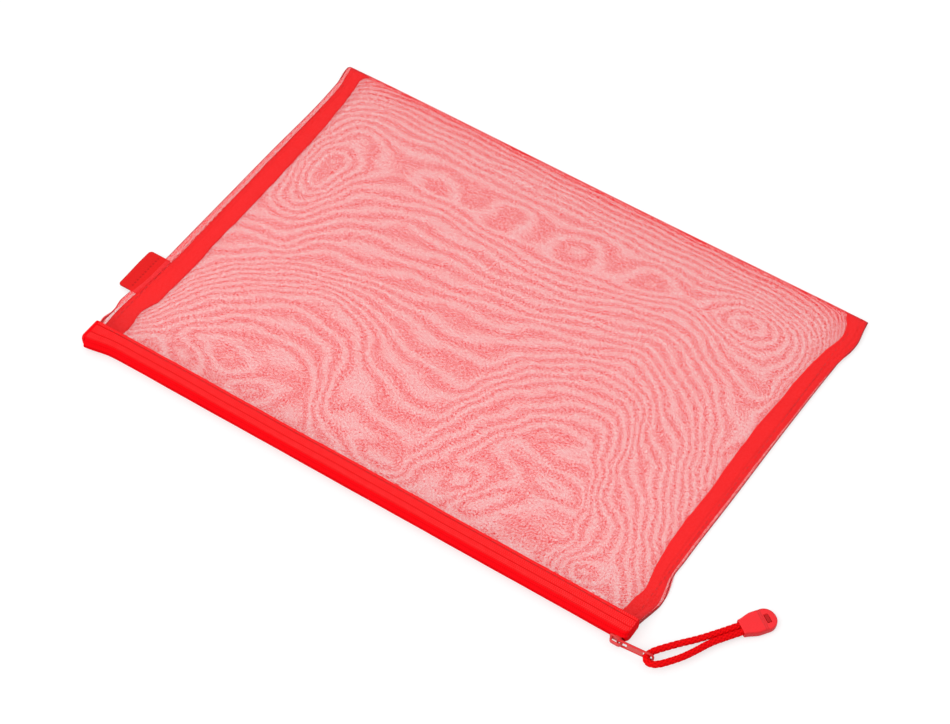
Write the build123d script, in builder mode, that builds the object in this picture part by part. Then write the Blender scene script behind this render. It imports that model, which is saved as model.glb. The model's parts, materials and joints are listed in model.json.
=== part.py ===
from build123d import *
from math import cos, pi, radians, sin, tan
import os

# Document wallet of nylon gauze with a coil zipper, a corded pull and a side label.
# X runs along the zipper, +X is its closed end, +Y is the folded back edge and +Z is up.
# The origin is the middle of the underside.  Sizes are in millimetres, angles in degrees.

# Wallet as it lies
wallet_width = 335.0
wallet_depth = 240.0
nose_height = 8.6
crown_height = 7.5
sag_share = 0.82
fold_height = 3.2
side_height = 3.6
side_run = 20.0
crown_run = 30.0
fold_run = 10.0
fold_rise_share = 0.7
front_run = 20.0
overrun = 5.0

# Gauze sheet and the side seams' allowances
gauze = 0.35
mouth_setback = 6.0
joggle_run = 3.0
allowance_layers = 2
allowance_height = 1.25
allowance_end_gap = 4.0

# Binding tape round the allowances
binding_tape = 0.4
binding_width = 13.5
binding_setback = 3.0
binding_play = 0.05
binding_front_gap = 1.0

# Zipper tapes and the two halves of the coil
zip_tape = 0.6
zip_lap = 11.0
zip_bend = 1.2
zip_end_setback = 1.0
chain_height = 4.3
chain_width = 3.8
coil_depth = 2.2
coil_parting = 0.1
coil_end_setback = 5.0

# Slider
slider_length = 11.0
slider_width = 6.2
slider_corner = 1.6
slider_end_setback = 1.0
plate = 1.1
plate_play = 0.5
flange_width = 0.8
flange_length = 7.0
tape_play = 0.25
wedge_length = 4.0
wedge_height = 3.0
wedge_point = 1.5
wedge_end_gap = 0.6
coil_wedge_gap = 0.3

# Bridge on the slider that holds the tab
bridge_length = 7.9
bridge_width = 2.2
bridge_strap = 0.9
bridge_leg = 1.1
bridge_opening = 2.0
bridge_round = 1.2
bridge_end_setback = 0.5

# Pull tab
tab_length = 20.2
tab_width = 5.4
tab_thickness = 1.0
tab_corner = 1.4
tab_bar = 1.2
tab_bar_play = 0.4
tab_bridge_slot = 4.4
tab_bridge_slot_width = 2.8
tab_cord_slot = 4.9
tab_slot_corner = 0.5
tab_yaw = 5.0

# Cord loop
cord_diameter = 3.4
cord_slot_play = 0.1
cord_heading = 56.0
cord_fold_radius = 3.3
cord_fold_reach = 3.4
cord_arc_share = 0.45
cord_lead = 8.0
cord_leg_offset = 1.85

# Moulded cord end
end_length = 19.0
end_width = 12.5
end_thickness = 4.8
end_mouth_width = 9.0
end_mouth_reach = 46.5
end_edge = 1.0
end_cheek_share = 0.42
end_cheek_run_share = 0.68
end_cavity_play = 0.1
end_tip_wall = 2.6
window_length = 2.4
window_width = 5.0
window_tip_gap = 3.4
plug_gap = 0.3
plug_play = 0.1
catch_play = 0.2
catch_rise = 0.3
table_gap = 0.05

# Side label
label_reach = 9.5
label_width = 28.0
label_thickness = 0.9
label_corner = 2.0
label_front_gap = 40.0
label_play = 0.05

# Stitching
stitch_length = 3.0
stitch_pitch = 4.0
stitch_thread = 0.35
stitch_inset = 1.6
stitch_end_margin = 8.0

# Edges of the wallet and places that follow from its sizes
half_width = wallet_width / 2
half_depth = wallet_depth / 2
front_y = -half_depth
back_y = half_depth
mouth_y = front_y + mouth_setback
lap_y = front_y + zip_lap
tape_half_length = half_width - zip_end_setback


def gauze_section(offset_x, crown, thickness):
    """One cross-section of the sheet; a thickness above zero gives the hollow inside it."""
    reach = overrun if thickness else 0
    low_front = zip_tape + thickness
    high_front = nose_height - zip_tape - thickness
    fold_top = fold_height + (crown - fold_height) * fold_rise_share
    with BuildSketch(Plane.YZ.offset(offset_x)) as section:
        with BuildLine():
            Polyline(
                (mouth_y - reach, low_front),
                (lap_y, low_front),
                (lap_y + joggle_run, thickness),
                (back_y - thickness, thickness),
                (back_y - thickness, fold_height - thickness),
                (back_y - fold_run, fold_top - thickness),
                (back_y - crown_run, crown - thickness),
                (0, crown * sag_share - thickness),
                (lap_y + front_run, crown - thickness),
                (lap_y, high_front),
                (mouth_y - reach, high_front),
                close=True,
            )
        make_face()
    return section.sketch


def gauze_sections(thickness):
    """The four cross-sections that the sheet, or its hollow, runs through from side to side."""
    end_x = half_width - thickness
    shoulder_x = half_width - side_run
    return [
        gauze_section(-end_x, side_height, thickness),
        gauze_section(-shoulder_x, crown_height, thickness),
        gauze_section(shoulder_x, crown_height, thickness),
        gauze_section(end_x, side_height, thickness),
    ]


# Seam allowances and bindings share these places
allowance = allowance_layers * gauze
allowance_middle = allowance_height + allowance / 2
allowance_front = lap_y + binding_front_gap
allowance_back = back_y - allowance_end_gap
allowance_depth = allowance_back - allowance_front
allowance_centre = (allowance_back + allowance_front) / 2
binding_outer = half_width - binding_setback
binding_inner = binding_outer - binding_width
binding_hollow = allowance + 2 * binding_play
binding_height = binding_hollow + 2 * binding_tape
allowance_tip = binding_inner + binding_tape + binding_play
allowance_root = half_width - gauze / 2

# The label lies on the left allowance and goes out through the seam
label_bottom = allowance_height + allowance
label_place = front_y + label_front_gap + label_width / 2
label_inner = -(binding_outer + label_play)
label_outer = -(half_width + label_reach)
label_middle = (label_inner + label_outer) / 2
label_depth = label_inner - label_outer

# One sheet folded at the back edge, seamed at both sides, open along the zipper
with BuildPart() as mesh_body:
    loft(sections=gauze_sections(0), ruled=True)
    loft(sections=gauze_sections(gauze), ruled=True, mode=Mode.SUBTRACT)
    for side in (-1, 1):
        with Locations((side * (allowance_tip + allowance_root) / 2, allowance_centre, allowance_middle)):
            Box(allowance_root - allowance_tip, allowance_depth, allowance)
    with Locations((-half_width, label_place, label_bottom + label_thickness / 2)):
        Box(
            2 * gauze + 2 * label_play,
            label_width + 2 * label_play,
            label_thickness + 2 * label_play,
            mode=Mode.SUBTRACT,
        )
mesh_body.part.label = "mesh_body"


def binding(side):
    """A folded tape that wraps one seam's allowance, closed on its inner edge."""
    with BuildPart() as tape:
        with Locations((side * (binding_outer + binding_inner) / 2, allowance_centre, allowance_middle)):
            Box(binding_width, allowance_depth, binding_height)
        with Locations((side * (allowance_tip - binding_play), allowance_centre, allowance_middle)):
            Box(
                binding_width + overrun,
                allowance_depth + overrun,
                binding_hollow,
                align=(Align.MIN if side > 0 else Align.MAX, Align.CENTER, Align.CENTER),
                mode=Mode.SUBTRACT,
            )
    return tape.part


left_binding_tape = binding(-1)
left_binding_tape.label = "left_binding_tape"
right_binding_tape = binding(1)
right_binding_tape.label = "right_binding_tape"

# Side label, with its outer corners rounded
with BuildPart() as label_tab:
    with Locations((label_middle, label_place, label_bottom)):
        Box(label_depth, label_width, label_thickness, align=(Align.CENTER, Align.CENTER, Align.MIN))
    fillet(label_tab.edges().filter_by(Axis.Z).group_by(Axis.X)[0], label_corner)
label_tab.part.label = "label_tab"

# Zipper tapes: flat on the gauze, then bent round the front edge to the chain
tape_middle_y = front_y + zip_tape / 2
upper_edge = chain_height + chain_width / 2
lower_edge = chain_height - chain_width / 2


def zip_tape_part(flat_height, edge_height):
    """One tape of the zipper: its flat part lies at one height and its edge meets the coil."""
    with BuildPart() as tape:
        with BuildSketch(Plane.YZ.offset(-tape_half_length)):
            with BuildLine() as middle:
                FilletPolyline(
                    (lap_y, flat_height),
                    (tape_middle_y, flat_height),
                    (tape_middle_y, edge_height),
                    radius=zip_bend,
                )
            trace(middle.line, line_width=zip_tape)
        extrude(amount=2 * tape_half_length)
    return tape.part


upper_zip_tape = zip_tape_part(nose_height - zip_tape / 2, upper_edge)
upper_zip_tape.label = "upper_zip_tape"
lower_zip_tape = zip_tape_part(zip_tape / 2, lower_edge)
lower_zip_tape.label = "lower_zip_tape"

# Slider places: it stands at the closed end of the zipper
slider_end = half_width - slider_end_setback
slider_middle = slider_end - slider_length / 2
coil_front = tape_middle_y - coil_depth / 2
coil_back = tape_middle_y + coil_depth / 2
outer_plate_back = coil_front - plate_play
outer_plate_front = outer_plate_back - plate
inner_plate_front = coil_back + plate_play
inner_plate_back = inner_plate_front + plate
wedge_end = slider_end - wedge_end_gap
wedge_start = wedge_end - wedge_length
flange_height = (slider_width - flange_width) / 2

# Coil halves: each is trimmed where it goes into a side seam, and stops at the slider's wedge
coil_start = -half_width + coil_end_setback
coil_stop = wedge_start - coil_wedge_gap
coil_half = (chain_width - coil_parting) / 2


def coil(side):
    """One half of the interlocked coil, against its tape's edge."""
    with BuildPart() as half:
        with Locations(((coil_start + coil_stop) / 2, tape_middle_y, chain_height + side * chain_width / 2)):
            Box(
                coil_stop - coil_start,
                coil_depth,
                coil_half,
                align=(Align.CENTER, Align.CENTER, Align.MAX if side > 0 else Align.MIN),
            )
    return half.part


upper_coil = coil(1)
upper_coil.label = "upper_coil"
lower_coil = coil(-1)
lower_coil.label = "lower_coil"

# Bridge and tab hinge
bridge_end = slider_end - bridge_end_setback
bridge_start = bridge_end - bridge_length
bridge_inner_y = outer_plate_front - bridge_opening
bridge_outer_y = bridge_inner_y - bridge_strap
hinge_x = bridge_end - bridge_leg - tab_bar_play - tab_bar / 2
hinge_y = outer_plate_front - bridge_opening / 2

# Slider: two plates joined by the wedge that parts the coil, with flanges beside the chain
with BuildPart() as slider_body:
    for plate_y in (outer_plate_back, inner_plate_back):
        with BuildSketch(Plane.XZ.offset(-plate_y)):
            with Locations((slider_middle, chain_height)):
                RectangleRounded(slider_length, slider_width, slider_corner)
        extrude(amount=plate)
    for side in (-1, 1):
        with Locations((slider_middle, outer_plate_back, chain_height + side * flange_height)):
            Box(
                flange_length,
                front_y - tape_play - outer_plate_back,
                flange_width,
                align=(Align.CENTER, Align.MIN, Align.CENTER),
            )
        with Locations((slider_middle, inner_plate_front, chain_height + side * flange_height)):
            Box(
                flange_length,
                inner_plate_front - front_y - zip_tape - tape_play,
                flange_width,
                align=(Align.CENTER, Align.MAX, Align.CENTER),
            )
    with BuildSketch(Plane.XZ.offset(-inner_plate_front)):
        with BuildLine():
            Polyline(
                (wedge_start, chain_height),
                (wedge_start + wedge_point, chain_height + wedge_height / 2),
                (wedge_end, chain_height + wedge_height / 2),
                (wedge_end, chain_height - wedge_height / 2),
                (wedge_start + wedge_point, chain_height - wedge_height / 2),
                close=True,
            )
        make_face()
    extrude(amount=inner_plate_front - outer_plate_back)
    with BuildSketch(Plane.XY.offset(chain_height)):
        with BuildLine():
            FilletPolyline(
                (bridge_start, outer_plate_front),
                (bridge_start, bridge_outer_y),
                (bridge_end, bridge_outer_y),
                (bridge_end, outer_plate_front),
                radius=bridge_round,
            )
            Line((bridge_end, outer_plate_front), (bridge_start, outer_plate_front))
        make_face()
        with BuildLine():
            Polyline(
                (bridge_start + bridge_leg, outer_plate_front),
                (bridge_start + bridge_leg, bridge_inner_y),
                (bridge_end - bridge_leg, bridge_inner_y),
                (bridge_end - bridge_leg, outer_plate_front),
                close=True,
            )
        make_face(mode=Mode.SUBTRACT)
    extrude(amount=bridge_width / 2, both=True)
slider_body.part.label = "slider_body"

# Pull tab: an upright plate with a bar at each end, one in the bridge and one in the cord
tab_plane = Plane(
    origin=(hinge_x, hinge_y, chain_height),
    x_dir=(cos(radians(tab_yaw)), sin(radians(tab_yaw)), 0),
    z_dir=(sin(radians(tab_yaw)), -cos(radians(tab_yaw)), 0),
)
tab_reach = tab_length - tab_bar
cord_slot_width = cord_diameter + 2 * cord_slot_play
with BuildPart() as pull_tab:
    with BuildSketch(tab_plane):
        with Locations((tab_reach / 2, 0)):
            RectangleRounded(tab_length, tab_width, tab_corner)
        with Locations(((tab_bar + tab_bridge_slot) / 2, 0)):
            RectangleRounded(tab_bridge_slot, tab_bridge_slot_width, tab_slot_corner, mode=Mode.SUBTRACT)
        with Locations((tab_reach - (tab_bar + tab_cord_slot) / 2, 0)):
            RectangleRounded(tab_cord_slot, cord_slot_width, tab_slot_corner, mode=Mode.SUBTRACT)
    extrude(amount=tab_thickness / 2, both=True)
    for bar_reach in (0, tab_reach):
        with Locations(tab_plane.from_local_coords(Vector(bar_reach, 0, 0))):
            Cylinder(tab_bar / 2, tab_width - 2 * tab_corner)
pull_tab.part.label = "pull_tab"

# The cord folds round the tab's far bar and dips until the cord end rests on the table
fold_centre = tab_plane.from_local_coords(Vector(tab_reach, 0, 0))
end_reach = end_mouth_reach + end_length
cord_dip = (chain_height - end_thickness / 2 - table_gap) / end_reach
cord_plane = Plane(
    origin=fold_centre,
    x_dir=(cos(radians(cord_heading)), sin(radians(cord_heading)), -cord_dip),
    z_dir=(cord_dip * cos(radians(cord_heading)), cord_dip * sin(radians(cord_heading)), 1),
)
cord_end_reach = end_mouth_reach + cord_lead
cord_route = [
    (cord_end_reach, cord_leg_offset),
    (cord_end_reach - 8.5, 1.8),
    (cord_end_reach - 18.0, 1.9),
    (cord_end_reach - 30.0, 1.85),
    (cord_end_reach - 41.0, 2.7),
    (-cord_fold_reach, 3.4),
    (-cord_fold_reach, -3.4),
    (cord_end_reach - 43.0, -3.8),
    (cord_end_reach - 32.0, -3.2),
    (cord_end_reach - 20.0, -2.1),
    (cord_end_reach - 9.0, -1.8),
    (cord_end_reach, -cord_leg_offset),
]


def cord_radii(route):
    """The largest arc that each corner's two runs allow; the fold's two corners are set."""
    radii = []
    for before, corner, after in zip(route, route[1:], route[2:]):
        run_in = Vector(*corner) - Vector(*before)
        run_out = Vector(*after) - Vector(*corner)
        turn = run_in.get_angle(run_out)
        shorter = min(run_in.length, run_out.length)
        at_fold = corner[0] == -cord_fold_reach
        largest = cord_arc_share * shorter / tan(radians(turn) / 2)
        radii.append(cord_fold_radius if at_fold else largest)
    return radii


radii = cord_radii(cord_route)
print("cord radii", [round(radius, 1) for radius in radii])
with BuildPart() as pull_cord:
    with BuildLine(cord_plane) as cord_path:
        FilletPolyline(*cord_route, radius=radii)
    with BuildSketch(Plane(cord_path.line @ 0, z_dir=cord_path.line % 0)):
        Circle(cord_diameter / 2)
    sweep(path=cord_path.line)
pull_cord.part.label = "pull_cord"
cord_length = cord_path.wire().length
tube_volume = pi * (cord_diameter / 2) ** 2 * cord_length
print("cord length", round(cord_length, 2))
print("cord volume", round(pull_cord.part.volume, 1), "section times length", round(tube_volume, 1))

# Moulded end that holds both ends of the cord, with a window for its catch
cavity_width = 2 * cord_leg_offset + cord_diameter + 2 * end_cavity_play
cavity_height = cord_diameter + 2 * end_cavity_play
cavity_length = end_length - end_tip_wall
window_middle = end_reach - window_tip_gap - window_length / 2
with BuildPart() as cord_end_shell:
    with BuildSketch(cord_plane.offset(-end_thickness / 2)):
        with BuildLine():
            cheek_start = Line(
                (end_mouth_reach, end_mouth_width / 2),
                (end_mouth_reach + end_length * end_cheek_share, end_width / 2),
            )
            cheek_end = Line(
                cheek_start @ 1,
                (end_mouth_reach + end_length * end_cheek_run_share, end_width / 2),
            )
            tip = ThreePointArc(
                cheek_end @ 1,
                (end_reach, 0),
                (end_mouth_reach + end_length * end_cheek_run_share, -end_width / 2),
            )
            far_cheek = Line(tip @ 1, (end_mouth_reach + end_length * end_cheek_share, -end_width / 2))
            Polyline(far_cheek @ 1, (end_mouth_reach, -end_mouth_width / 2), cheek_start @ 0)
        make_face()
    extrude(amount=end_thickness)
    fillet(cord_end_shell.faces().sort_by(Axis.Z)[0].edges(), end_edge)
    fillet(cord_end_shell.faces().sort_by(Axis.Z)[-1].edges(), end_edge)
    with BuildSketch(cord_plane.offset(-cavity_height / 2)):
        with Locations((end_mouth_reach + cavity_length / 2, 0)):
            Rectangle(cavity_length, cavity_width)
    extrude(amount=cavity_height, mode=Mode.SUBTRACT)
    with BuildSketch(cord_plane):
        with Locations((window_middle, 0)):
            Rectangle(window_length, window_width)
    extrude(amount=end_thickness, mode=Mode.SUBTRACT)
cord_end_shell.part.label = "cord_end_shell"

# Plug that jams the cord's ends, with the catch that shows in the window
plug_start = cord_end_reach + plug_gap
plug_end = end_mouth_reach + cavity_length - plug_play
plug_height = cavity_height - 2 * plug_play
with BuildPart() as cord_end_plug:
    with BuildSketch(cord_plane.offset(-plug_height / 2)):
        with Locations(((plug_start + plug_end) / 2, 0)):
            Rectangle(plug_end - plug_start, cavity_width - 2 * plug_play)
    extrude(amount=plug_height)
    with BuildSketch(cord_plane.offset(plug_height / 2)):
        with Locations((window_middle, 0)):
            Rectangle(window_length - 2 * catch_play, window_width - 2 * catch_play)
    extrude(amount=catch_rise)
cord_end_plug.part.label = "cord_end_plug"


def stitch_row(middle, length, along_x):
    """A straight row of stitches that lies on a face, centred on one place."""
    count = int((length - 2 * stitch_end_margin) / stitch_pitch)
    spread = (stitch_pitch, 0, count, 1) if along_x else (0, stitch_pitch, 1, count)
    size = (stitch_length, stitch_thread) if along_x else (stitch_thread, stitch_length)
    with BuildPart() as row:
        with Locations(middle):
            with GridLocations(*spread):
                Box(*size, stitch_thread, align=(Align.CENTER, Align.CENTER, Align.MIN))
    return row.part


# Stitching that holds each zipper tape to the gauze, and each binding to its seam
zip_stitch_y = lap_y - stitch_inset
upper_zip_stitching = stitch_row((0, zip_stitch_y, nose_height), 2 * tape_half_length, True)
upper_zip_stitching.label = "upper_zip_stitching"
lower_zip_stitching = stitch_row((0, zip_stitch_y, zip_tape + gauze), 2 * tape_half_length, True)
lower_zip_stitching.label = "lower_zip_stitching"
seam_stitch_x = binding_outer - stitch_inset
seam_stitch_height = allowance_middle + binding_height / 2
left_seam_middle = (-seam_stitch_x, allowance_centre, seam_stitch_height)
left_seam_stitching = stitch_row(left_seam_middle, allowance_depth, False)
left_seam_stitching.label = "left_seam_stitching"
right_seam_middle = (seam_stitch_x, allowance_centre, seam_stitch_height)
right_seam_stitching = stitch_row(right_seam_middle, allowance_depth, False)
right_seam_stitching.label = "right_seam_stitching"

pieces = [
    mesh_body.part,
    left_binding_tape,
    right_binding_tape,
    label_tab.part,
    upper_zip_tape,
    lower_zip_tape,
    upper_coil,
    lower_coil,
    slider_body.part,
    pull_tab.part,
    pull_cord.part,
    cord_end_shell.part,
    cord_end_plug.part,
    upper_zip_stitching,
    lower_zip_stitching,
    left_seam_stitching,
    right_seam_stitching,
]
os.makedirs("parts", exist_ok=True)
for piece in pieces:
    export_step(piece, f"parts/{piece.label}.step")
print("tab hinge", round(hinge_x, 3), round(hinge_y, 3), "cord hinge", [round(c, 3) for c in fold_centre])
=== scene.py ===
"""Red gauze document wallet with a coil zipper, a corded pull and a side label.

Lengths are in metres.  X runs along the zipper to its closed end, +Y is the folded back edge
and +Z is up.  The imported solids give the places, and the pieces made here give the looks.
"""

import json
import math

import bmesh
import bpy
import numpy as np
from bpy.props import FloatProperty, FloatVectorProperty, IntProperty, PointerProperty
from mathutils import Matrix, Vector


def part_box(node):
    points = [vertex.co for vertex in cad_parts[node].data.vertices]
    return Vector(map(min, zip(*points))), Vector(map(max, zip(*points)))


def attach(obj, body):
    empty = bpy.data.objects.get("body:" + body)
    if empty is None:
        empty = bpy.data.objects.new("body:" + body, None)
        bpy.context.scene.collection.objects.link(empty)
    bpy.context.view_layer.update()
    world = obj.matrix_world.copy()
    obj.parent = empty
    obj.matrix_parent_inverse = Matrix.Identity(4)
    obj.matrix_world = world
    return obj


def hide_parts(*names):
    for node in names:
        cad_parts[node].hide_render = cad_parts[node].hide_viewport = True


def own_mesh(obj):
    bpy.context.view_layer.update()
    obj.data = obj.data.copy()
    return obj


bl_info = {
    "name": "Gauze Document Wallet",
    "version": (1, 0, 0),
    "blender": (4, 5, 0),
    "location": "View3D > Sidebar > Wallet",
    "description": "Builds a zipped gauze wallet round its packed solids",
    "category": "Add Mesh",
}

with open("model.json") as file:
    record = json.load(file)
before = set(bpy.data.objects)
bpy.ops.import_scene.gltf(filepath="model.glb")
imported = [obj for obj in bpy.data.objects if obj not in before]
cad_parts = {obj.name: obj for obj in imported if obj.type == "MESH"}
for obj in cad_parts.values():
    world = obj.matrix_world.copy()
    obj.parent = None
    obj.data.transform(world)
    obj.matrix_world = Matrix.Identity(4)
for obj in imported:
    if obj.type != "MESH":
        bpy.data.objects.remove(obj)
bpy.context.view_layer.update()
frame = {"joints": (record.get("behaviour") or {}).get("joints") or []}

MM = 0.001
TURN = 2 * math.pi
QUARTER = math.pi / 2
UPWARD = np.array([0.0, 0.0, 1.0])

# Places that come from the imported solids
gauze_low, gauze_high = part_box("mesh_body")
tape_low, tape_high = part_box("upper_zip_tape")
lower_tape_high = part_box("lower_zip_tape")[1]
coil_low, coil_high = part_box("upper_coil")
lower_coil_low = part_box("lower_coil")[0]
binding_low, binding_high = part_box("right_binding_tape")
label_low, label_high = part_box("label_tab")
slider_low, slider_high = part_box("slider_body")
joint_places = {joint["name"]: joint.get("pos_m") for joint in frame["joints"]}
half_width = gauze_high.x
back_y = gauze_high.y
mouth_y = gauze_low.y
front_y = tape_low.y
lap_y = tape_high.y
nose = tape_high.z
tape_thick = nose - gauze_high.z
chain_middle = (coil_high.z + lower_coil_low.z) / 2
label_middle = (label_high.y + label_low.y) / 2

# The photographed view
VIEW_AZIMUTH = math.radians(33.872)
VIEW_ELEVATION = math.radians(51.644)
VIEW_DISTANCE = 1.38123
VIEW_TARGET = Vector((0.009689, -0.016469, 0.0))
VIEW_LENS = 100.24
VIEW_NEAR = 0.01
view_back = Vector((
    math.sin(VIEW_AZIMUTH) * math.cos(VIEW_ELEVATION),
    -math.cos(VIEW_AZIMUTH) * math.cos(VIEW_ELEVATION),
    math.sin(VIEW_ELEVATION),
))
eye = VIEW_TARGET + view_back * VIEW_DISTANCE


def length_property(name, description, default):
    """A length that the panel shows in the scene's units."""
    return FloatProperty(
        name=name, description=description, default=default, precision=6, unit="LENGTH"
    )


def share_property(name, description, default):
    """A share that the panel shows as a factor."""
    return FloatProperty(name=name, description=description, default=default, subtype="FACTOR")


def colour_property(name, description, default):
    """A colour that the panel shows with a picker."""
    return FloatVectorProperty(
        name=name, description=description, default=default, subtype="COLOR", size=3
    )


class WalletSizes(bpy.types.PropertyGroup):
    """Sizes of the wallet's cloth, zipper, cord and thread that a user may change."""

    thread_pitch: length_property(
        "Thread pitch", "Distance between neighbouring threads of the gauze", 0.28 * MM
    )
    weft_cover: share_property(
        "Weft cover", "Share of the gauze that the threads along the zipper cover", 0.337
    )
    warp_cover: share_property(
        "Warp cover", "Share of the gauze that the threads across the zipper cover", 0.05
    )
    rib_pitch: length_property(
        "Rib pitch", "Distance between the woven ribs of a zipper tape", 1.1 * MM
    )
    rib_height: length_property(
        "Rib height", "Height of a woven rib of a zipper tape", 0.08 * MM
    )
    coil_pitch: length_property(
        "Coil pitch", "Distance between neighbouring turns of one half of the coil", 1.2 * MM
    )
    coil_wire: length_property("Coil wire", "Diameter of the coil's nylon wire", 0.62 * MM)
    cord_diameter: length_property(
        "Cord diameter", "Diameter of the braided cord over its strands", 3.6 * MM
    )
    cord_strands: IntProperty(
        name="Cord strands",
        description="Strands of the braid that run each way round the cord",
        default=5,
    )
    braid_lay: length_property(
        "Braid lay", "Length of cord in which one strand goes once round it", 15.0 * MM
    )
    stitch_length: length_property("Stitch length", "Length of one stitch", 3.0 * MM)
    stitch_pitch: length_property(
        "Stitch pitch", "Distance between the middles of neighbouring stitches", 4.0 * MM
    )
    thread_diameter: length_property("Sewing thread", "Diameter of the sewing thread", 0.42 * MM)


class WalletColours(bpy.types.PropertyGroup):
    """Colours of the wallet's finishes, in linear light."""

    gauze: colour_property("Gauze", "Nylon thread of the gauze", (0.96, 0.032, 0.038))
    binding: colour_property("Binding", "Folded tape round the seams", (0.95, 0.020, 0.018))
    # The tape's colour is paler than the lip's, for painted sheen on the top faces; the deeper lip
    # colour serves the faces that face forward
    tape: colour_property("Zipper tape", "Ribbed tape of the zipper", (0.97, 0.016, 0.018))
    lip: colour_property("Tape lip", "Smooth lips and ends of the tapes", (0.93, 0.001, 0.004))
    coil: colour_property("Coil", "Nylon coil of the zipper", (0.80, 0.004, 0.006))
    metal: colour_property("Lacquer", "Rims of the slider and tab", (0.66, 0.010, 0.014))
    # The flats' colour is paler than the rims' for painted sheen, and pale flecks are mixed into it
    sheen_flat_metal: colour_property("Flat lacquer", "Flats of the slider and tab", (0.72, 0.070, 0.066))
    fleck: colour_property("Flecks", "Small scuffs in the lacquer", (0.82, 0.42, 0.38))
    cord: colour_property("Cord", "Braided cord", (0.94, 0.003, 0.005))
    cord_end: colour_property("Cord end", "Moulded end of the cord", (0.93, 0.020, 0.027))
    # The catch's colour is dark for painted shade in the window of the end
    catch: colour_property("Catch", "Plug in the moulded end", (0.50, 0.003, 0.004))
    label: colour_property("Label", "Side label", (0.84, 0.010, 0.010))
    thread: colour_property("Thread", "Sewing thread", (0.70, 0.006, 0.007))
    floor: colour_property("Floor", "Pale floor under the wallet", (0.45, 0.45, 0.45))


# Meshes from arrays of points


def grid_quads(rows, columns, wrap_rows=False, wrap_columns=False):
    """Quads between neighbouring lines of a grid whose points are numbered row by row.

    A wrapped direction joins its last line to its first.
    """
    row = np.arange(rows if wrap_rows else rows - 1)[:, None]
    column = np.arange(columns if wrap_columns else columns - 1)[None, :]
    next_row = (row + 1) % rows
    next_column = (column + 1) % columns
    corners = (
        row * columns + column,
        next_row * columns + column,
        next_row * columns + next_column,
        row * columns + next_column,
    )
    return np.stack(corners, axis=-1).reshape(-1, 4)


def new_piece(name, points, faces, material, body, slot, uv=None, tone=None, closed=True):
    """A smooth mesh object of the given points and faces that rides on a body.

    uv holds each point's place on the cloth in metres, and tone a number for its shade.  The faces
    of a closed piece are turned outwards.
    """
    mesh = bpy.data.meshes.new(name)
    mesh.from_pydata(np.asarray(points).reshape(-1, 3), [], faces)
    mesh.validate()
    if uv is not None:
        corner_point = np.empty(len(mesh.loops), dtype=np.int32)
        mesh.loops.foreach_get("vertex_index", corner_point)
        corner_uv = np.asarray(uv, dtype=np.float32).reshape(-1, 2)[corner_point]
        cloth = mesh.uv_layers.new(name="cloth")
        cloth.data.foreach_set("uv", corner_uv.ravel())
    if tone is not None:
        shade = mesh.attributes.new("tone", "FLOAT", "POINT")
        shade.data.foreach_set("value", np.asarray(tone, dtype=np.float32).ravel())
    if closed:
        shape = bmesh.new()
        shape.from_mesh(mesh)
        bmesh.ops.recalc_face_normals(shape, faces=shape.faces)
        shape.to_mesh(mesh)
        shape.free()
    mesh.polygons.foreach_set("use_smooth", np.ones(len(mesh.polygons), dtype=bool))
    mesh.materials.append(material)
    piece = bpy.data.objects.new(name, mesh)
    bpy.context.scene.collection.objects.link(piece)
    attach(piece, body)
    return piece


def capped_rings(rings):
    """Faces of a solid that runs through closed rings, with a flat cap on its first and last."""
    count, size = rings.shape[:2]
    sides = grid_quads(count, size, wrap_columns=True).tolist()
    first = list(range(size))
    last = list(range((count - 1) * size, count * size))
    return sides + [first, last]


def ringed_piece(name, rings, material, body, slot, **looks):
    """A piece whose surface runs through closed rings and is capped at both ends."""
    return new_piece(name, rings, capped_rings(rings), material, body, slot, **looks)


def joined(solids):
    """Points and faces of several (points, faces) solids as one list of points and one of faces."""
    clouds = [np.asarray(points).reshape(-1, 3) for points, _ in solids]
    starts = np.cumsum([0] + [len(cloud) for cloud in clouds]).tolist()
    faces = []
    for start, (_, own_faces) in zip(starts, solids):
        faces.extend([corner + start for corner in face] for face in own_faces)
    return np.concatenate(clouds), faces


def stacked(*parts):
    """Arrays of numbers, spread to one shape, side by side as an array of points."""
    return np.stack(np.broadcast_arrays(*parts), axis=-1)


def unit(vectors):
    """The vectors at length 1."""
    return vectors / np.linalg.norm(vectors, axis=-1, keepdims=True)


def run_along(line):
    """The distance along a line of points from its first point to each of them."""
    steps = np.linalg.norm(np.diff(line, axis=0), axis=1)
    return np.concatenate(([0.0], np.cumsum(steps)))


def swept_rings(path, up, across, along_up):
    """Rings of a section carried along a path.

    At each point of the path the section's first number goes sideways, square to the path and
    to up, and its second number goes along up.
    """
    tangent = unit(np.gradient(path, axis=0))
    side = unit(np.cross(tangent, up))
    lift = np.cross(side, tangent)
    return path[:, None] + across[..., None] * side[:, None] + along_up[..., None] * lift[:, None]


def rounded_ring(half_wide, half_tall, radius, flat_points, arc_points):
    """A rounded rectangle, as (across, up) arrays, for each of an array of sizes.

    The top and bottom run straight between quarter arcs of the given radius.
    """
    sizes = (np.atleast_1d(size)[:, None] for size in (half_wide, half_tall, radius))
    width, height, bend = np.broadcast_arrays(*sizes)
    flat = np.linspace(-1, 1, flat_points)
    arc = np.linspace(0, QUARTER, arc_points + 1)[1:]
    rise = arc - arc[0]
    flat_end = width - bend
    half_across = [flat_end * flat, flat_end + bend * np.sin(arc), flat_end + bend * np.cos(rise)]
    half_up = [
        0 * flat - height,
        bend - height - bend * np.cos(arc),
        height - bend + bend * np.sin(rise),
    ]
    across = np.concatenate(half_across + [-part for part in half_across], axis=1)
    up = np.concatenate(half_up + [-part for part in half_up], axis=1)
    return across, up


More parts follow.
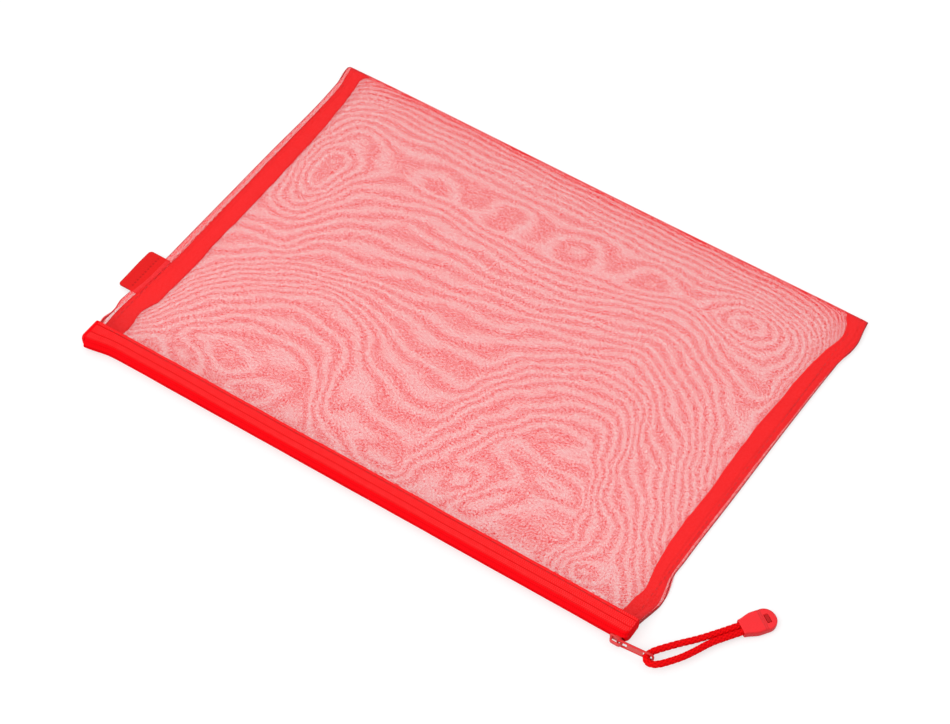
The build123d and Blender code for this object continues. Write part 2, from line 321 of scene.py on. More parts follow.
def smooth_step(values):
    """Eases from 0 to 1 as the values go from 0 to 1, and stays level outside."""
    share = np.clip(values, 0, 1)
    return share * share * (3 - 2 * share)


def bell(offset, spread):
    """1 where the offset is 0, falling off to both sides: e to minus the square of offset / spread."""
    return np.exp(-((offset / spread) ** 2))


def through(places, knots, values):
    """A smooth curve through values at knots: a cubic in each span, with its neighbours' slopes."""
    slopes = np.gradient(values, knots)
    span = np.clip(np.searchsorted(knots, places) - 1, 0, len(knots) - 2)
    width = knots[span + 1] - knots[span]
    share = np.clip((places - knots[span]) / width, 0, 1)
    leave = share * (1 - share) ** 2 * slopes[span]
    arrive = share**2 * (1 - share) * slopes[span + 1]
    eased = values[span] + (values[span + 1] - values[span]) * smooth_step(share)
    return eased + width * (leave - arrive)


def wander(places, *waves):
    """A sum of sines: each wave is its height, its length and where in its turn it starts."""
    return sum(height * np.sin(TURN * (places / length + start)) for height, length, start in waves)


# Materials


def new_finish(name, colour, roughness, specular=0.5):
    """A material with a plain colour, roughness and specular level, its node tree and its shader."""
    material = bpy.data.materials.new(name)
    material.use_nodes = True
    shader = material.node_tree.nodes["Principled BSDF"]
    shader.inputs["Base Color"].default_value = (*colour, 1)
    shader.inputs["Roughness"].default_value = roughness
    shader.inputs["Specular IOR Level"].default_value = specular
    return material, material.node_tree, shader


def feed(tree, socket, value):
    """Gives a socket a number, a colour or the output of another node."""
    if isinstance(value, bpy.types.NodeSocket):
        tree.links.new(value, socket)
    elif socket.type == "RGBA":
        socket.default_value = (*value, 1)
    else:
        socket.default_value = value


def calc(tree, operation, first, second=0.0):
    """The output of a Math node; each value is a number or a socket."""
    node = tree.nodes.new("ShaderNodeMath")
    node.operation = operation
    feed(tree, node.inputs[0], first)
    feed(tree, node.inputs[1], second)
    return node.outputs[0]


def between(tree, share, low, high):
    """A value that goes from low to high as a share goes from 0 to 1."""
    return calc(tree, "ADD", calc(tree, "MULTIPLY", share, high - low), low)


def as_height(tree, wave):
    """A wave from -1 to 1 as a height from 0 to 1."""
    return calc(tree, "ADD", calc(tree, "MULTIPLY", wave, 0.5), 0.5)


def cloth_axes(tree):
    """The piece's own U and V on the cloth, in metres, and both as one vector."""
    cloth = tree.nodes.new("ShaderNodeUVMap")
    cloth.uv_map = "cloth"
    parts = tree.nodes.new("ShaderNodeSeparateXYZ")
    feed(tree, parts.inputs[0], cloth.outputs[0])
    return parts.outputs[0], parts.outputs[1], cloth.outputs[0]


def object_place(tree):
    """The point on the object that is being shaded."""
    return tree.nodes.new("ShaderNodeTexCoord").outputs["Object"]


def tone_of(tree):
    """The piece's own shade attribute."""
    node = tree.nodes.new("ShaderNodeAttribute")
    node.attribute_name = "tone"
    return node.outputs["Fac"]


def toned(tree, share, low, high):
    """The piece's own shade, times a factor that goes from low to high with a share."""
    return calc(tree, "MULTIPLY", tone_of(tree), between(tree, share, low, high))


def mottle(tree, place, size, detail=2.0):
    """Noise from 0 to 1 with blotches of about the given size."""
    node = tree.nodes.new("ShaderNodeTexNoise")
    node.inputs["Scale"].default_value = 1 / size
    node.inputs["Detail"].default_value = detail
    feed(tree, node.inputs["Vector"], place)
    return node.outputs["Fac"]


def swing(tree, noise, amount):
    """Noise from 0 to 1 as a swing of the given amount about 0."""
    return between(tree, noise, -amount / 2, amount / 2)


def ripple(tree, place, length):
    """A sine of the given length along a place, from -1 to 1."""
    return calc(tree, "SINE", calc(tree, "MULTIPLY", place, TURN / length))


def mixed(tree, share, low, high):
    """A colour that goes from low to high with a share; each end is a colour or a socket."""
    node = tree.nodes.new("ShaderNodeMix")
    node.data_type = "RGBA"
    ends = [socket for socket in node.inputs if socket.type == "RGBA"]
    for socket, value in zip(ends, (low, high)):
        feed(tree, socket, value)
    feed(tree, node.inputs[0], share)
    return next(socket for socket in node.outputs if socket.type == "RGBA")


def tint(tree, shader, share, low, high):
    """Colours the shader from low to high as a share goes from 0 to 1."""
    feed(tree, shader.inputs["Base Color"], mixed(tree, share, low, high))


def relief(tree, shader, height, distance, strength=1.0):
    """Bumps the shader by a height from 0 to 1 times a distance."""
    node = tree.nodes.new("ShaderNodeBump")
    node.inputs["Strength"].default_value = strength
    node.inputs["Distance"].default_value = distance
    feed(tree, node.inputs["Height"], height)
    feed(tree, shader.inputs["Normal"], node.outputs[0])


def rough_between(tree, shader, share, low, high):
    """Roughness from low to high as a share goes from 0 to 1."""
    feed(tree, shader.inputs["Roughness"], between(tree, share, low, high))


def shaded(colour, *factors):
    """The colour with all its channels times one factor, or each times its own."""
    return tuple(np.array(colour) * factors)


def gauze_finish(sizes, colours):
    """Open weave: threads of both ways are solid, and the gaps between them are clear.

    The threads along the zipper stray a little to either side, all of them are uneven, and they
    are fuller or thinner by the tone attribute, with painted shade where the tone is highest,
    along the seams and the fold.  They let most of the light through to what they shade.
    """
    pitch = sizes.thread_pitch
    shadow_lost = 0.7
    edge_shade_from = 2.3
    material, tree, shader = new_finish("gauze_weave", colours.gauze, roughness=0.55, specular=0.15)
    across, along, cloth = cloth_axes(tree)
    tone = tone_of(tree)
    uneven = swing(tree, mottle(tree, cloth, size=1.0 * MM, detail=1.0), amount=2.8)
    thinned = calc(tree, "MULTIPLY", uneven, calc(tree, "MINIMUM", tone, 1.0))
    fullness = calc(tree, "ADD", tone, thinned)
    drawn_out = tree.nodes.new("ShaderNodeMapping")
    drawn_out.inputs["Scale"].default_value = (0.25, 1, 1)
    feed(tree, drawn_out.inputs["Vector"], cloth)
    stray = swing(tree, mottle(tree, drawn_out.outputs[0], size=3.5 * MM), amount=0.4 * pitch)
    kinks = swing(tree, mottle(tree, cloth, size=1.1 * MM, detail=1.0), amount=0.85 * pitch)
    along = calc(tree, "ADD", along, calc(tree, "ADD", stray, kinks))

    def threads(place, cover):
        """1 on the threads whose middles lie one pitch apart, 0 between them."""
        turn = calc(tree, "FRACT", calc(tree, "MULTIPLY", place, 1 / pitch))
        off_middle = calc(tree, "ABSOLUTE", calc(tree, "SUBTRACT", turn, 0.5))
        return calc(tree, "LESS_THAN", off_middle, calc(tree, "MULTIPLY", fullness, cover / 2))

    weft = threads(along, sizes.weft_cover)
    warp = threads(across, sizes.warp_cover)
    solid = calc(tree, "MAXIMUM", weft, warp)
    light_path = tree.nodes.new("ShaderNodeLightPath")
    let_through = calc(tree, "MULTIPLY", light_path.outputs["Is Shadow Ray"], shadow_lost)
    shade_share = calc(tree, "SUBTRACT", 1.0, let_through)
    feed(tree, shader.inputs["Alpha"], calc(tree, "MULTIPLY", solid, shade_share))
    dyed = mixed(tree, mottle(tree, cloth, size=9 * MM), shaded(colours.gauze, 0.95), colours.gauze)
    # Painted shade: the threads darken where their tone passes edge_shade_from, along the seams and
    # the fold
    edge_shade = calc(tree, "MAXIMUM", calc(tree, "SUBTRACT", tone, edge_shade_from), 0.0)
    tint(tree, shader, calc(tree, "MINIMUM", edge_shade, 1.0), dyed, shaded(colours.gauze, 0.4))
    rough_between(tree, shader, mottle(tree, cloth, size=2 * MM), low=0.45, high=0.65)
    return material


def binding_finish(colours):
    """Plain woven tape: a fine chequer of yarns, with painted shade between them and where the tone is
    low.
    """
    yarn = 0.9 * MM
    material, tree, shader = new_finish("binding_weave", colours.binding, roughness=0.75, specular=0.1)
    across, along, cloth = cloth_axes(tree)
    weave = calc(tree, "MULTIPLY", ripple(tree, across, yarn), ripple(tree, along, yarn))
    raised = as_height(tree, weave)
    shade = toned(tree, raised, low=0.8, high=1.0)
    tint(tree, shader, shade, shaded(colours.binding, 0.62), colours.binding)
    relief(tree, shader, raised, distance=0.08 * MM)
    rough_between(tree, shader, mottle(tree, cloth, size=3 * MM), low=0.65, high=0.85)
    return material


def tape_finish(name, sizes, colour):
    """Ribbed tape: short slanting stitches of yarn on each rib, with painted sheen on their crests and
    painted shade between them and in the grooves.
    """
    sway = 0.25 * MM
    material, tree, shader = new_finish(name, colour, roughness=0.7, specular=0.04)
    across, along, cloth = cloth_axes(tree)
    swayed = calc(tree, "MULTIPLY", ripple(tree, across, 2 * sizes.rib_pitch), sway)
    slant = calc(tree, "ADD", along, swayed)
    yarn = as_height(tree, ripple(tree, slant, sizes.rib_pitch))
    patchy_sheen = swing(tree, mottle(tree, cloth, size=3 * MM), amount=0.6)
    # Painted shade in the grooves, painted shade between the yarns (deep) and painted sheen on their
    # crests (pale)
    groove_shade_colour = shaded(colour, 0.72, 0.02, 0.1)
    deep = shaded(colour, 0.93, 0.05, 0.15)
    pale = shaded(colour, 1.0, 2.6, 2.5)
    woven = mixed(tree, calc(tree, "ADD", yarn, patchy_sheen), deep, pale)
    tint(tree, shader, tone_of(tree), groove_shade_colour, woven)
    relief(tree, shader, yarn, distance=0.07 * MM)
    rough_between(tree, shader, mottle(tree, cloth, size=2 * MM), low=0.6, high=0.8)
    return material


def coil_finish(colours):
    """Drawn nylon: satin, with faint mottling."""
    material, tree, shader = new_finish("coil_nylon", colours.coil, roughness=0.38)
    blotches = mottle(tree, object_place(tree), size=0.5 * MM)
    tint(tree, shader, blotches, shaded(colours.coil, 0.8), colours.coil)
    relief(tree, shader, blotches, distance=0.02 * MM)
    rough_between(tree, shader, blotches, low=0.3, high=0.48)
    return material


def lacquer_finish(name, colours):
    """Lacquered metal: orange peel, deep red on the rims, and paler on the flats with painted sheen
    and pale flecks.
    """
    flecks_over = 0.66
    fleck_share = 0.35
    material, tree, shader = new_finish(name, colours.metal, roughness=0.3, specular=0.25)
    place = object_place(tree)
    peel = mottle(tree, place, size=0.35 * MM, detail=1.0)
    flecks = calc(tree, "GREATER_THAN", mottle(tree, place, size=0.9 * MM, detail=4.0), flecks_over)
    flecked = calc(tree, "MULTIPLY", flecks, fleck_share)
    flat = mixed(tree, flecked, colours.sheen_flat_metal, colours.fleck)
    tint(tree, shader, tone_of(tree), colours.metal, flat)
    relief(tree, shader, peel, distance=0.03 * MM, strength=0.6)
    rough_between(tree, shader, mottle(tree, place, size=1.2 * MM), low=0.22, high=0.42)
    shader.inputs["Metallic"].default_value = 0.2
    return material


def cord_finish(colours):
    """Braided polyester: fine fibres along each strand, with painted shade between the fibres and
    between the strands.
    """
    fibre = 0.22 * MM
    material, tree, shader = new_finish("cord_braid", colours.cord, roughness=0.7, specular=0.04)
    across, along, cloth = cloth_axes(tree)
    raised = as_height(tree, ripple(tree, calc(tree, "ADD", across, along), fibre))
    shade = toned(tree, raised, low=0.8, high=1.0)
    tint(tree, shader, shade, shaded(colours.cord, 0.65), colours.cord)
    relief(tree, shader, raised, distance=0.03 * MM)
    rough_between(tree, shader, mottle(tree, cloth, size=1.5 * MM), low=0.6, high=0.8)
    return material


def moulded_finish(name, colour):
    """Moulded plastic: a fine spark texture and a satin gloss, with painted shade where its tone is
    low.
    """
    material, tree, shader = new_finish(name, colour, roughness=0.42, specular=0.25)
    place = object_place(tree)
    grain = mottle(tree, place, size=0.18 * MM, detail=3.0)
    dyed = mixed(tree, mottle(tree, place, size=4 * MM), shaded(colour, 0.93), colour)
    tint(tree, shader, tone_of(tree), shaded(colour, 0.5), dyed)
    relief(tree, shader, grain, distance=0.03 * MM, strength=0.7)
    rough_between(tree, shader, grain, low=0.36, high=0.52)
    return material


def label_finish(colours):
    """Soft moulded label: matt, with a fine pebbled skin and painted shade in its pits, dents and
    edges.
    """
    material, tree, shader = new_finish("label_skin", colours.label, roughness=0.7, specular=0.15)
    place = object_place(tree)
    pebbles = mottle(tree, place, size=0.45 * MM)
    shade = toned(tree, pebbles, low=0.7, high=1.1)
    tint(tree, shader, shade, shaded(colours.label, 0.4), colours.label)
    relief(tree, shader, pebbles, distance=0.06 * MM)
    rough_between(tree, shader, mottle(tree, place, size=2 * MM), low=0.6, high=0.8)
    return material


def thread_finish(sizes, colours):
    """Twisted sewing thread: slanting plies, painted lighter on their crests and darker between them.
    """
    ply = 0.55 * sizes.thread_diameter
    material, tree, shader = new_finish("sewing_thread", colours.thread, roughness=0.6)
    across, along, cloth = cloth_axes(tree)
    raised = as_height(tree, ripple(tree, calc(tree, "ADD", along, across), ply))
    tint(tree, shader, raised, shaded(colours.thread, 0.6), colours.thread)
    relief(tree, shader, raised, distance=0.04 * MM)
    rough_between(tree, shader, mottle(tree, cloth, size=1 * MM), low=0.5, high=0.7)
    return material


# Gauze

# Lines of the two sides, from front to back: pairs of Y and distance from the middle, in mm
SIDE_LINES = {
    -1: {
        "outline": (
            (-120, 165.6), (-110, 166.6), (-105, 167.9), (-98, 167.5), (-94, 168.0),
            (-88.7, 169.3), (-81, 168.9), (-72, 167.8), (-60, 167.3), (-27, 167.2),
            (40, 167.2), (100, 167.2), (110, 168.0), (115, 169.2), (118, 169.7), (120, 169.0),
        ),
        "outer": (
            (-108, 165.4), (-93, 165.9), (-82, 165.4), (-70, 164.0), (-51, 163.0), (0, 163.2),
            (40, 163.7), (80, 163.8), (104, 164.6), (114, 166.6), (119.2, 167.6),
        ),
        "inner": (
            (-108, 154.4), (-99, 153.3), (-89, 155.2), (-77, 152.1), (-68, 151.4), (-18, 151.8),
            (10, 151.6), (28, 152.0), (72, 153.2), (96, 155.0), (108, 156.8), (114.5, 157.7),
            (117, 157.0), (119.2, 154.2),
        ),
    },
    1: {
        "outline": (
            (-120, 165.8), (-109, 166.3), (-104, 167.3), (-98, 168.7), (-92, 169.6),
            (-83, 167.9), (-78, 166.4), (-63, 166.1), (-20, 166.6), (40, 167.0), (82, 168.0),
            (91, 168.4), (99, 170.2), (104, 170.4), (114, 168.8), (120, 168.0),
        ),
        "outer": (
            (-108, 164.6), (-102, 166.0), (-94, 167.8), (-85, 166.7), (-77, 164.8), (-60, 164.3),
            (-20, 164.7), (20, 165.2), (40, 165.8), (82, 167.4), (96, 169.2), (104, 170.0),
            (112, 168.9), (119.2, 167.6),
        ),
        "inner": (
            (-108, 155.0), (-96, 156.5), (-89, 158.0), (-82, 157.0), (-73, 155.3), (-14, 154.0),
            (20, 153.4), (47, 154.6), (72, 156.0), (91, 158.2), (101, 160.8), (108, 160.6),
            (113, 159.0), (116, 156.8), (119.2, 155.4),
        ),
    },
}

# The two layers of threads make broad bands where they cross.  Each row is a line across the
# wallet: its count of bands, and its Y in mm at the stations along X.
BAND_STATIONS = (
    -170, -150, -125, -100, -73, -50, -33, -12, 7, 18, 24,
    34, 50, 66, 80, 94, 104, 111, 127, 143, 156, 170,
)
BAND_LINES = (
    (-4, (-124, -108, -90, -76, -70, -84, -112, -134, -140, -138, -126,
          -104, -60, -40, -36, -38, -62, -84, -105, -122, -140, -150)),
    (0, (-98, -80, -56, -38, -29, -37, -55, -70, -74, -69, -52,
         -30, -15, -4, -2, -5, -18, -40, -61, -86, -106, -122)),
    (6, (-70, -51, -27, -12, -6, 0, 5, 9, 13, 16, 18,
         21, 26, 31, 35, 29, 22, 16, 3, -32, -55, -72)),
    (11, (-8, 4, 17, 36, 49, 50, 48, 46, 46, 47, 48,
          51, 56, 61, 65, 63, 58, 53, 39, 16, -14, -32)),
    (14, (30, 42, 57, 64, 67, 65, 64, 64, 64, 64, 65,
          67, 70, 74, 77, 77, 75, 73, 67, 55, 36, 18)),
)
BAND_LEVEL = 5.0 * MM
BAND_START = 0.25

# Swells of the upper layer: bands high, middle and spread along and across in mm, turn in degrees
SWELLS = (
    (3.6, (-132, 40), (15, 34), 4),
    (3.0, (121, 84), (20, 12), -14),
    (3.8, (127, -101), (14, 13), 0),
    (1.7, (47, -86), (9, 17), -24),
    (-1.3, (66, -90), (7, 18), -40),
    (1.5, (-35, -80), (9, 15), 10),
    (1.4, (-73, -99), (16, 9), 25),
    (1.6, (-118, -101), (16, 9), -20),
    (-1.0, (-98, -88), (12, 10), 0),
    (-1.2, (88, -64), (30, 8), -8),
    (0.9, (92, -40), (20, 7), 10),
    (1.0, (5, -99), (20, 7), 0),
    (0.8, (-118, -8), (10, 14), 0),
)


def side_line(side, name, y):
    """Distance of a side's line from the wallet's middle at each Y: a curve through its pairs."""
    pairs = np.array(SIDE_LINES[side][name]) * MM
    return through(y, pairs[:, 0], pairs[:, 1])


def near_side_line(name, x, y):
    """The same distance, on the side that each X lies on."""
    return np.where(x < 0, side_line(-1, name, y), side_line(1, name, y))


def swelling(x, y):
    """Sum of the swells: each is its height times a turned bell round its middle."""
    total = np.zeros(np.broadcast(x, y).shape)
    for height, middle, spread, turn in SWELLS:
        lean = math.radians(turn)
        right = x - middle[0] * MM
        back = y - middle[1] * MM
        along = (right * math.cos(lean) + back * math.sin(lean)) / (spread[0] * MM)
        across = (back * math.cos(lean) - right * math.sin(lean)) / (spread[1] * MM)
        total = total + height * np.exp(-(along**2) - across**2)
    return total


def band_count(x, y):
    """How many bands of the weave lie between a place and the first band line.

    The count rises evenly in Y from each band line to the next, falls off to the fold and to the
    back ends of the sides, rises to the left side by the label, and takes in the swells, a row of
    ripples by the fold and a faint waver.
    """
    fold_bands = 9
    fold_run = 46 * MM
    side_bands = 4.5
    side_start = 156.5 * MM
    side_run = 11 * MM
    back_start = -5 * MM
    back_run = 45 * MM
    label_bands = 4.5
    label_most = 2
    label_start = -152 * MM
    label_run = 9 * MM
    crowd_y = -78 * MM
    crowd_spread = 24 * MM
    row_bands = 0.5
    row_y = 76 * MM
    row_spread = 11 * MM
    waver_bands = 0.25
    stations = np.array(BAND_STATIONS) * MM
    lines = [through(x, stations, np.array(line) * MM) for _, line in BAND_LINES]
    counts = [count for count, _ in BAND_LINES]
    total = counts[0] + swelling(x, y)
    for below, above, first, last in zip(lines, lines[1:], counts, counts[1:]):
        total = total + (last - first) * np.clip((y - below) / (above - below), 0, 1)
    from_fold = np.clip((back_y - y) / fold_run, 0, 1)
    total = total - fold_bands * (1 - np.sin(from_fold * QUARTER))
    by_side = np.exp((np.abs(x) - side_start) / side_run)
    total = total - side_bands * by_side * smooth_step((y - back_start) / back_run)
    by_label = np.exp((label_start - x) / label_run).clip(0, label_most)
    total = total + label_bands * by_label * bell(y - crowd_y, crowd_spread)
    total = total + row_bands * wander(x, (1.0, 46 * MM, -0.09)) * bell(y - row_y, row_spread)
    slanting = np.sin(TURN * (x / (57 * MM) + y / (71 * MM)))
    counter = np.sin(TURN * (y / (31 * MM) - x / (120 * MM)))
    return total + waver_bands * slanting * counter


def upper_height(x, y):
    """Height of the upper layer over the table.

    It rises from the back fold to a ridge, sags towards the middle, climbs to the zipper and lifts
    a little at each swell.
    """
    fold_level = 3.0 * MM
    ridge = 7.4 * MM
    ridge_y = back_y - 41 * MM
    sag = 1.3 * MM
    sag_run = 85 * MM
    swell_lift = 0.08 * MM
    climb_run = 60 * MM
    from_fold = np.clip((back_y - y) / (back_y - ridge_y), 0, 1)
    height = fold_level + (ridge - fold_level) * np.sin(from_fold * QUARTER)
    height = height - sag * smooth_step((ridge_y - y) / sag_run) + swell_lift * swelling(x, y)
    front = 1 - smooth_step((y - lap_y) / climb_run)
    return height + (nose - tape_thick - height) * front


def back_lean(x, y):
    """How far the back of the wallet leans out: more towards its left corner, none at the front."""
    most = 1.3 * MM
    start_x = 60 * MM
    run_x = 220 * MM
    start_y = 60 * MM
    run_y = 60 * MM
    return most * smooth_step((start_x - x) / run_x) * smooth_step((y - start_y) / run_y)


def thread_fullness(x, y, inset, edge, band_edge, is_upper):
    """How full the threads of the gauze are: 1 over the middle of the wallet.

    They close up along the fold.  On the upper layer they close up in the strip between a binding
    and the seam, more so at the seam itself, with a thinner line beside the binding, away from the
    label and the zipper.  They are thin in the strip of the lower layer, and on the allowances
    that turn in past the seam.
    """
    strip_ease = 0.6 * MM
    strip_least = 0.6 * MM
    strip_widen = 0.8 * MM
    label_ease = 1 * MM
    zipper_gap = 8 * MM
    zipper_ease = 20 * MM
    seam_least = 0.35 * MM
    seam_growth = 0.55 * MM
    fold_soft = 6 * MM
    fold_sharp = 0.5 * MM
    fold_soft_gain = 0.55
    fold_sharp_gain = 1.2
    strip_gain = 1.1
    seam_gain = 1.4
    pale_loss = 0.6
    lower_strip_loss = 0.85
    allowance_full = 0.15
    is_left = x < 0
    beyond = np.abs(x) - band_edge
    in_strip = smooth_step(beyond / strip_ease + 1)
    wide_strip = smooth_step((edge - band_edge - strip_least) / strip_widen)
    past_label = np.abs(y - label_middle) - (label_high.y - label_middle)
    off_label = np.where(is_left, smooth_step(past_label / label_ease), 1)
    off_zipper = smooth_step((y - lap_y - zipper_gap) / zipper_ease)
    pale_at = np.where(is_left, 0.5 * MM, 0.35 * MM)
    pale_width = np.where(is_left, 0.4 * MM, 0.28 * MM)
    pale_line = off_label * off_zipper * wide_strip * bell(beyond - pale_at, pale_width)
    seam_width = np.where(is_left, seam_least + seam_growth * off_zipper, seam_least)
    seam_line = off_label * bell(inset, seam_width)
    before_fold = y - back_y
    by_fold = fold_soft_gain * np.exp(before_fold / fold_soft)
    by_fold = by_fold + fold_sharp_gain * np.exp(before_fold / fold_sharp)
    upper = 1 + strip_gain * in_strip - pale_loss * pale_line + seam_gain * seam_line
    full = np.where(is_upper, upper, 1 - lower_strip_loss * in_strip) + by_fold
    return np.where(inset < 0, allowance_full, full)


def weave_drift(x, y, z, low, pitch):
    """How far the upper layer's threads are drawn along the cloth, at each of its points.

    A line of sight goes through the upper layer and then meets the lower one further back.  The
    drift makes up for that step and takes off one thread for each band, so that the bands lie
    along the band lines at the photographed angle.
    """
    ahead_x = (x - eye.x) / (eye.z - z)
    ahead_y = (y - eye.y) / (eye.z - z)
    count = band_count(x + ahead_x * (z - BAND_LEVEL), y + ahead_y * (z - BAND_LEVEL))
    return ahead_y * (z - low) - pitch * count


def gauze_columns(side_round):
    """X of the sheet's columns before it is sewn, from one cut edge to the other.

    They are close together where the sides round over, and past each seam they make its allowance.
    """
    strip_zone = 7.5 * MM
    cut_back = 0.6 * MM
    allowance = half_width - binding_low.x - cut_back
    flat = np.linspace(-half_width + strip_zone, half_width - strip_zone, 166)
    rounding = side_round * (1 - np.cos(np.linspace(0, QUARTER, 9)[:-1]))
    strip_inset = np.concatenate([rounding, np.linspace(side_round, strip_zone, 13)])
    past_seam = np.array([0.3 * MM, 1.5 * MM, 3.0 * MM, allowance])
    right = half_width + np.concatenate([-strip_inset[::-1], past_seam])
    return np.concatenate([-right[::-1], flat[1:-1], right])


def gauze_shape(pitch):
    """Points, cloth coordinates, thread fullness and flat size of the sheet.

    Rows start at the upper front edge and go back over the upper layer, round the fold and forward
    under the wallet.  Columns go from one cut edge to the other; past each seam they turn in and
    lie flat as its allowance.
    """
    seam_level = 1.6 * MM
    side_level = 3.0 * MM
    side_round = 3.0 * MM
    side_flat = 4 * MM
    side_rise = 26 * MM
    side_start = 24 * MM
    table_gap = 0.2 * MM
    tape_gap = 0.05 * MM
    fold_depth = 1.6 * MM
    ply_gap = 0.1 * MM
    edge_sway = 25 * MM
    lap_drop = 3 * MM
    cut_x = gauze_columns(side_round)
    inset = half_width - np.abs(cut_x)
    turned = (inset < 0)[None, :]

    fold_start = back_y - fold_depth
    upper_lap = np.linspace(mouth_y, lap_y, 4)
    upper_y = np.concatenate([upper_lap[:-1], np.linspace(lap_y, fold_start, 200)])
    fold_turn = np.linspace(0, math.pi, 11)[1:-1]
    lower_lap = np.linspace(lap_y, mouth_y, 4)
    lower_y = np.concatenate([np.linspace(fold_start, lap_y + lap_drop, 60), lower_lap])
    fold_y = fold_start + np.sin(fold_turn) * fold_depth
    row_y = np.concatenate([upper_y, fold_y, lower_y])[:, None]
    edges = near_side_line("outline", cut_x, row_y)
    near_edge = smooth_step(1 - np.abs(inset) / edge_sway)
    x = np.sign(cut_x) * (half_width - np.abs(inset) + (edges - half_width) * near_edge)

    upper = slice(0, upper_y.size)
    row_upper = row_y[upper]
    under_tape = nose - tape_thick - tape_gap
    tall = np.where(row_upper <= lap_y, under_tape, upper_height(x[upper], row_upper))
    inner = smooth_step((np.abs(inset)[None, :] - side_flat) / side_rise)
    front = smooth_step((row_upper - lap_y) / side_start)
    tall = tall + (side_level - tall) * (1 - inner) * front
    low = np.where(lower_y <= lap_y, tape_thick + tape_gap, table_gap)[:, None]
    rounding = np.sqrt(1 - (1 - np.clip(inset / side_round, 0, 1)) ** 2)[None, :]
    upper_z = seam_level + (tall - seam_level) * rounding
    lower_z = seam_level + (low - seam_level) * rounding
    seam_x = np.where(turned, np.sign(cut_x) * edges[upper], x[upper])
    drift = weave_drift(seam_x, row_upper, upper_z, table_gap, pitch)
    upper_z = np.where(turned, seam_level + ply_gap, upper_z)
    lower_z = np.where(turned, seam_level - ply_gap, lower_z)
    fold_middle = (upper_z[-1] + lower_z[0]) / 2
    fold_radius = (upper_z[-1] - lower_z[0]) / 2
    fold_z = fold_middle + np.cos(fold_turn)[:, None] * fold_radius
    z = np.concatenate([upper_z, fold_z, lower_z])

    allowance_share = (binding_high.y - binding_low.y) / (back_y - mouth_y)
    binding_middle = (binding_high.y + binding_low.y) / 2
    pulled_in = binding_middle + (row_y - (back_y + mouth_y) / 2) * allowance_share
    y = np.where(turned, pulled_in, row_y)
    points = stacked(x, y + back_lean(x, y), z)

    turn_back = 2 * fold_start + math.pi * fold_depth
    threads = np.round((turn_back - drift[-1].mean()) / pitch + BAND_START) - BAND_START
    drift = drift + threads * pitch - turn_back
    fade = 1 - fold_turn[:, None] / math.pi
    upper_along = row_upper + drift
    fold_along = fold_start + fold_turn[:, None] * fold_depth + drift[-1] * fade
    lower_along = np.broadcast_to(turn_back - lower_y[:, None], lower_z.shape)
    cloth = stacked(cut_x, np.concatenate([upper_along, fold_along, lower_along]))
    band_edge = near_side_line("outer", cut_x, row_y)
    is_upper = (np.arange(row_y.size) < upper_y.size + fold_turn.size / 2)[:, None]
    fullness = thread_fullness(x, row_y, inset[None, :], edges, band_edge, is_upper)
    flat = (float(np.ptp(cut_x)), float(turn_back - 2 * mouth_y))
    return points, cloth, fullness, flat


class WALLET_OT_gauze(bpy.types.Operator):
    """Makes the folded gauze sheet with its turned-in seam allowances."""

    bl_idname = "wallet.gauze"
    bl_label = "Gauze Sheet"

    def execute(self, context):
        sizes = context.scene.wallet_sizes
        points, cloth, fullness, flat = gauze_shape(sizes.thread_pitch)
        finish = gauze_finish(sizes, context.scene.wallet_colours)
        faces = grid_quads(*points.shape[:2])
        looks = {"uv": cloth, "tone": fullness, "closed": False}
        sheet = new_piece("gauze_sheet", points, faces, finish, "wallet", "gauze", **looks)
        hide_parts("mesh_body")
        return {"FINISHED"}


# Bindings


def binding_shape(side):
    """Points, cloth coordinates and shade of one folded tape.

    Its section is a thin U lying on its side, closed towards the middle of the wallet and pressed
    thin at the seam.  It is carried along the seam between the side's outer and inner lines, up to
    the back fold, and has a crease along it.
    """
    thick = 0.4 * MM
    fold_room = 0.8 * MM
    crease_at = 3.2 * MM
    crease_depth = 0.22 * MM
    crease_width = 0.5 * MM
    crease_shade = 0.15 if side < 0 else 0.35
    shade_width = 0.45 * MM
    still_run = 20 * MM
    seam_press = 0.45
    press_run = 1.6 * MM
    middle_z = (binding_high.z + binding_low.z) / 2
    half = (binding_high.z - binding_low.z) / 2
    inner_half = half - thick
    y = np.linspace(binding_low.y, back_y - fold_room, 200)[:, None]
    outer = side_line(side, "outer", y)
    sway = wander(y, (0.15 * MM, 37 * MM, 0.4), (0.1 * MM, 17 * MM, 0.7))
    turn_at = outer - side_line(side, "inner", y) + sway - half
    flat = np.linspace(0, 1, 22)[None, :] * turn_at
    bend = np.linspace(-QUARTER, QUARTER, 9)[None, :]
    crease = crease_depth * bell(flat - crease_at, crease_width)
    parts = [
        (flat, half - crease),
        (turn_at + half * np.cos(bend[:, ::-1]), half * np.sin(bend[:, ::-1])),
        (flat[:, ::-1], -half),
        (flat, -inner_half),
        (turn_at + inner_half * np.cos(bend), inner_half * np.sin(bend)),
        (flat[:, ::-1], inner_half - crease[:, ::-1]),
    ]
    inward = np.concatenate([part for part, _ in parts], axis=1)
    up = np.concatenate([np.broadcast_to(rise, part.shape) for part, rise in parts], axis=1)
    flutter = wander(y, (0.12 * MM, 31 * MM, 0.2), (0.08 * MM, 13 * MM, 0.6))
    flutter = flutter * smooth_step((back_y - y) / still_run)
    pressed = seam_press + (1 - seam_press) * smooth_step(inward / press_run)
    x = side * (outer - inward)
    points = stacked(x, y + back_lean(x, y), middle_z + up * pressed + flutter)
    cloth = stacked(inward + (up - up.max()), y)
    # Painted shade along the crease
    tone = 1 - crease_shade * bell(inward - crease_at, shade_width)
    return points, cloth, tone


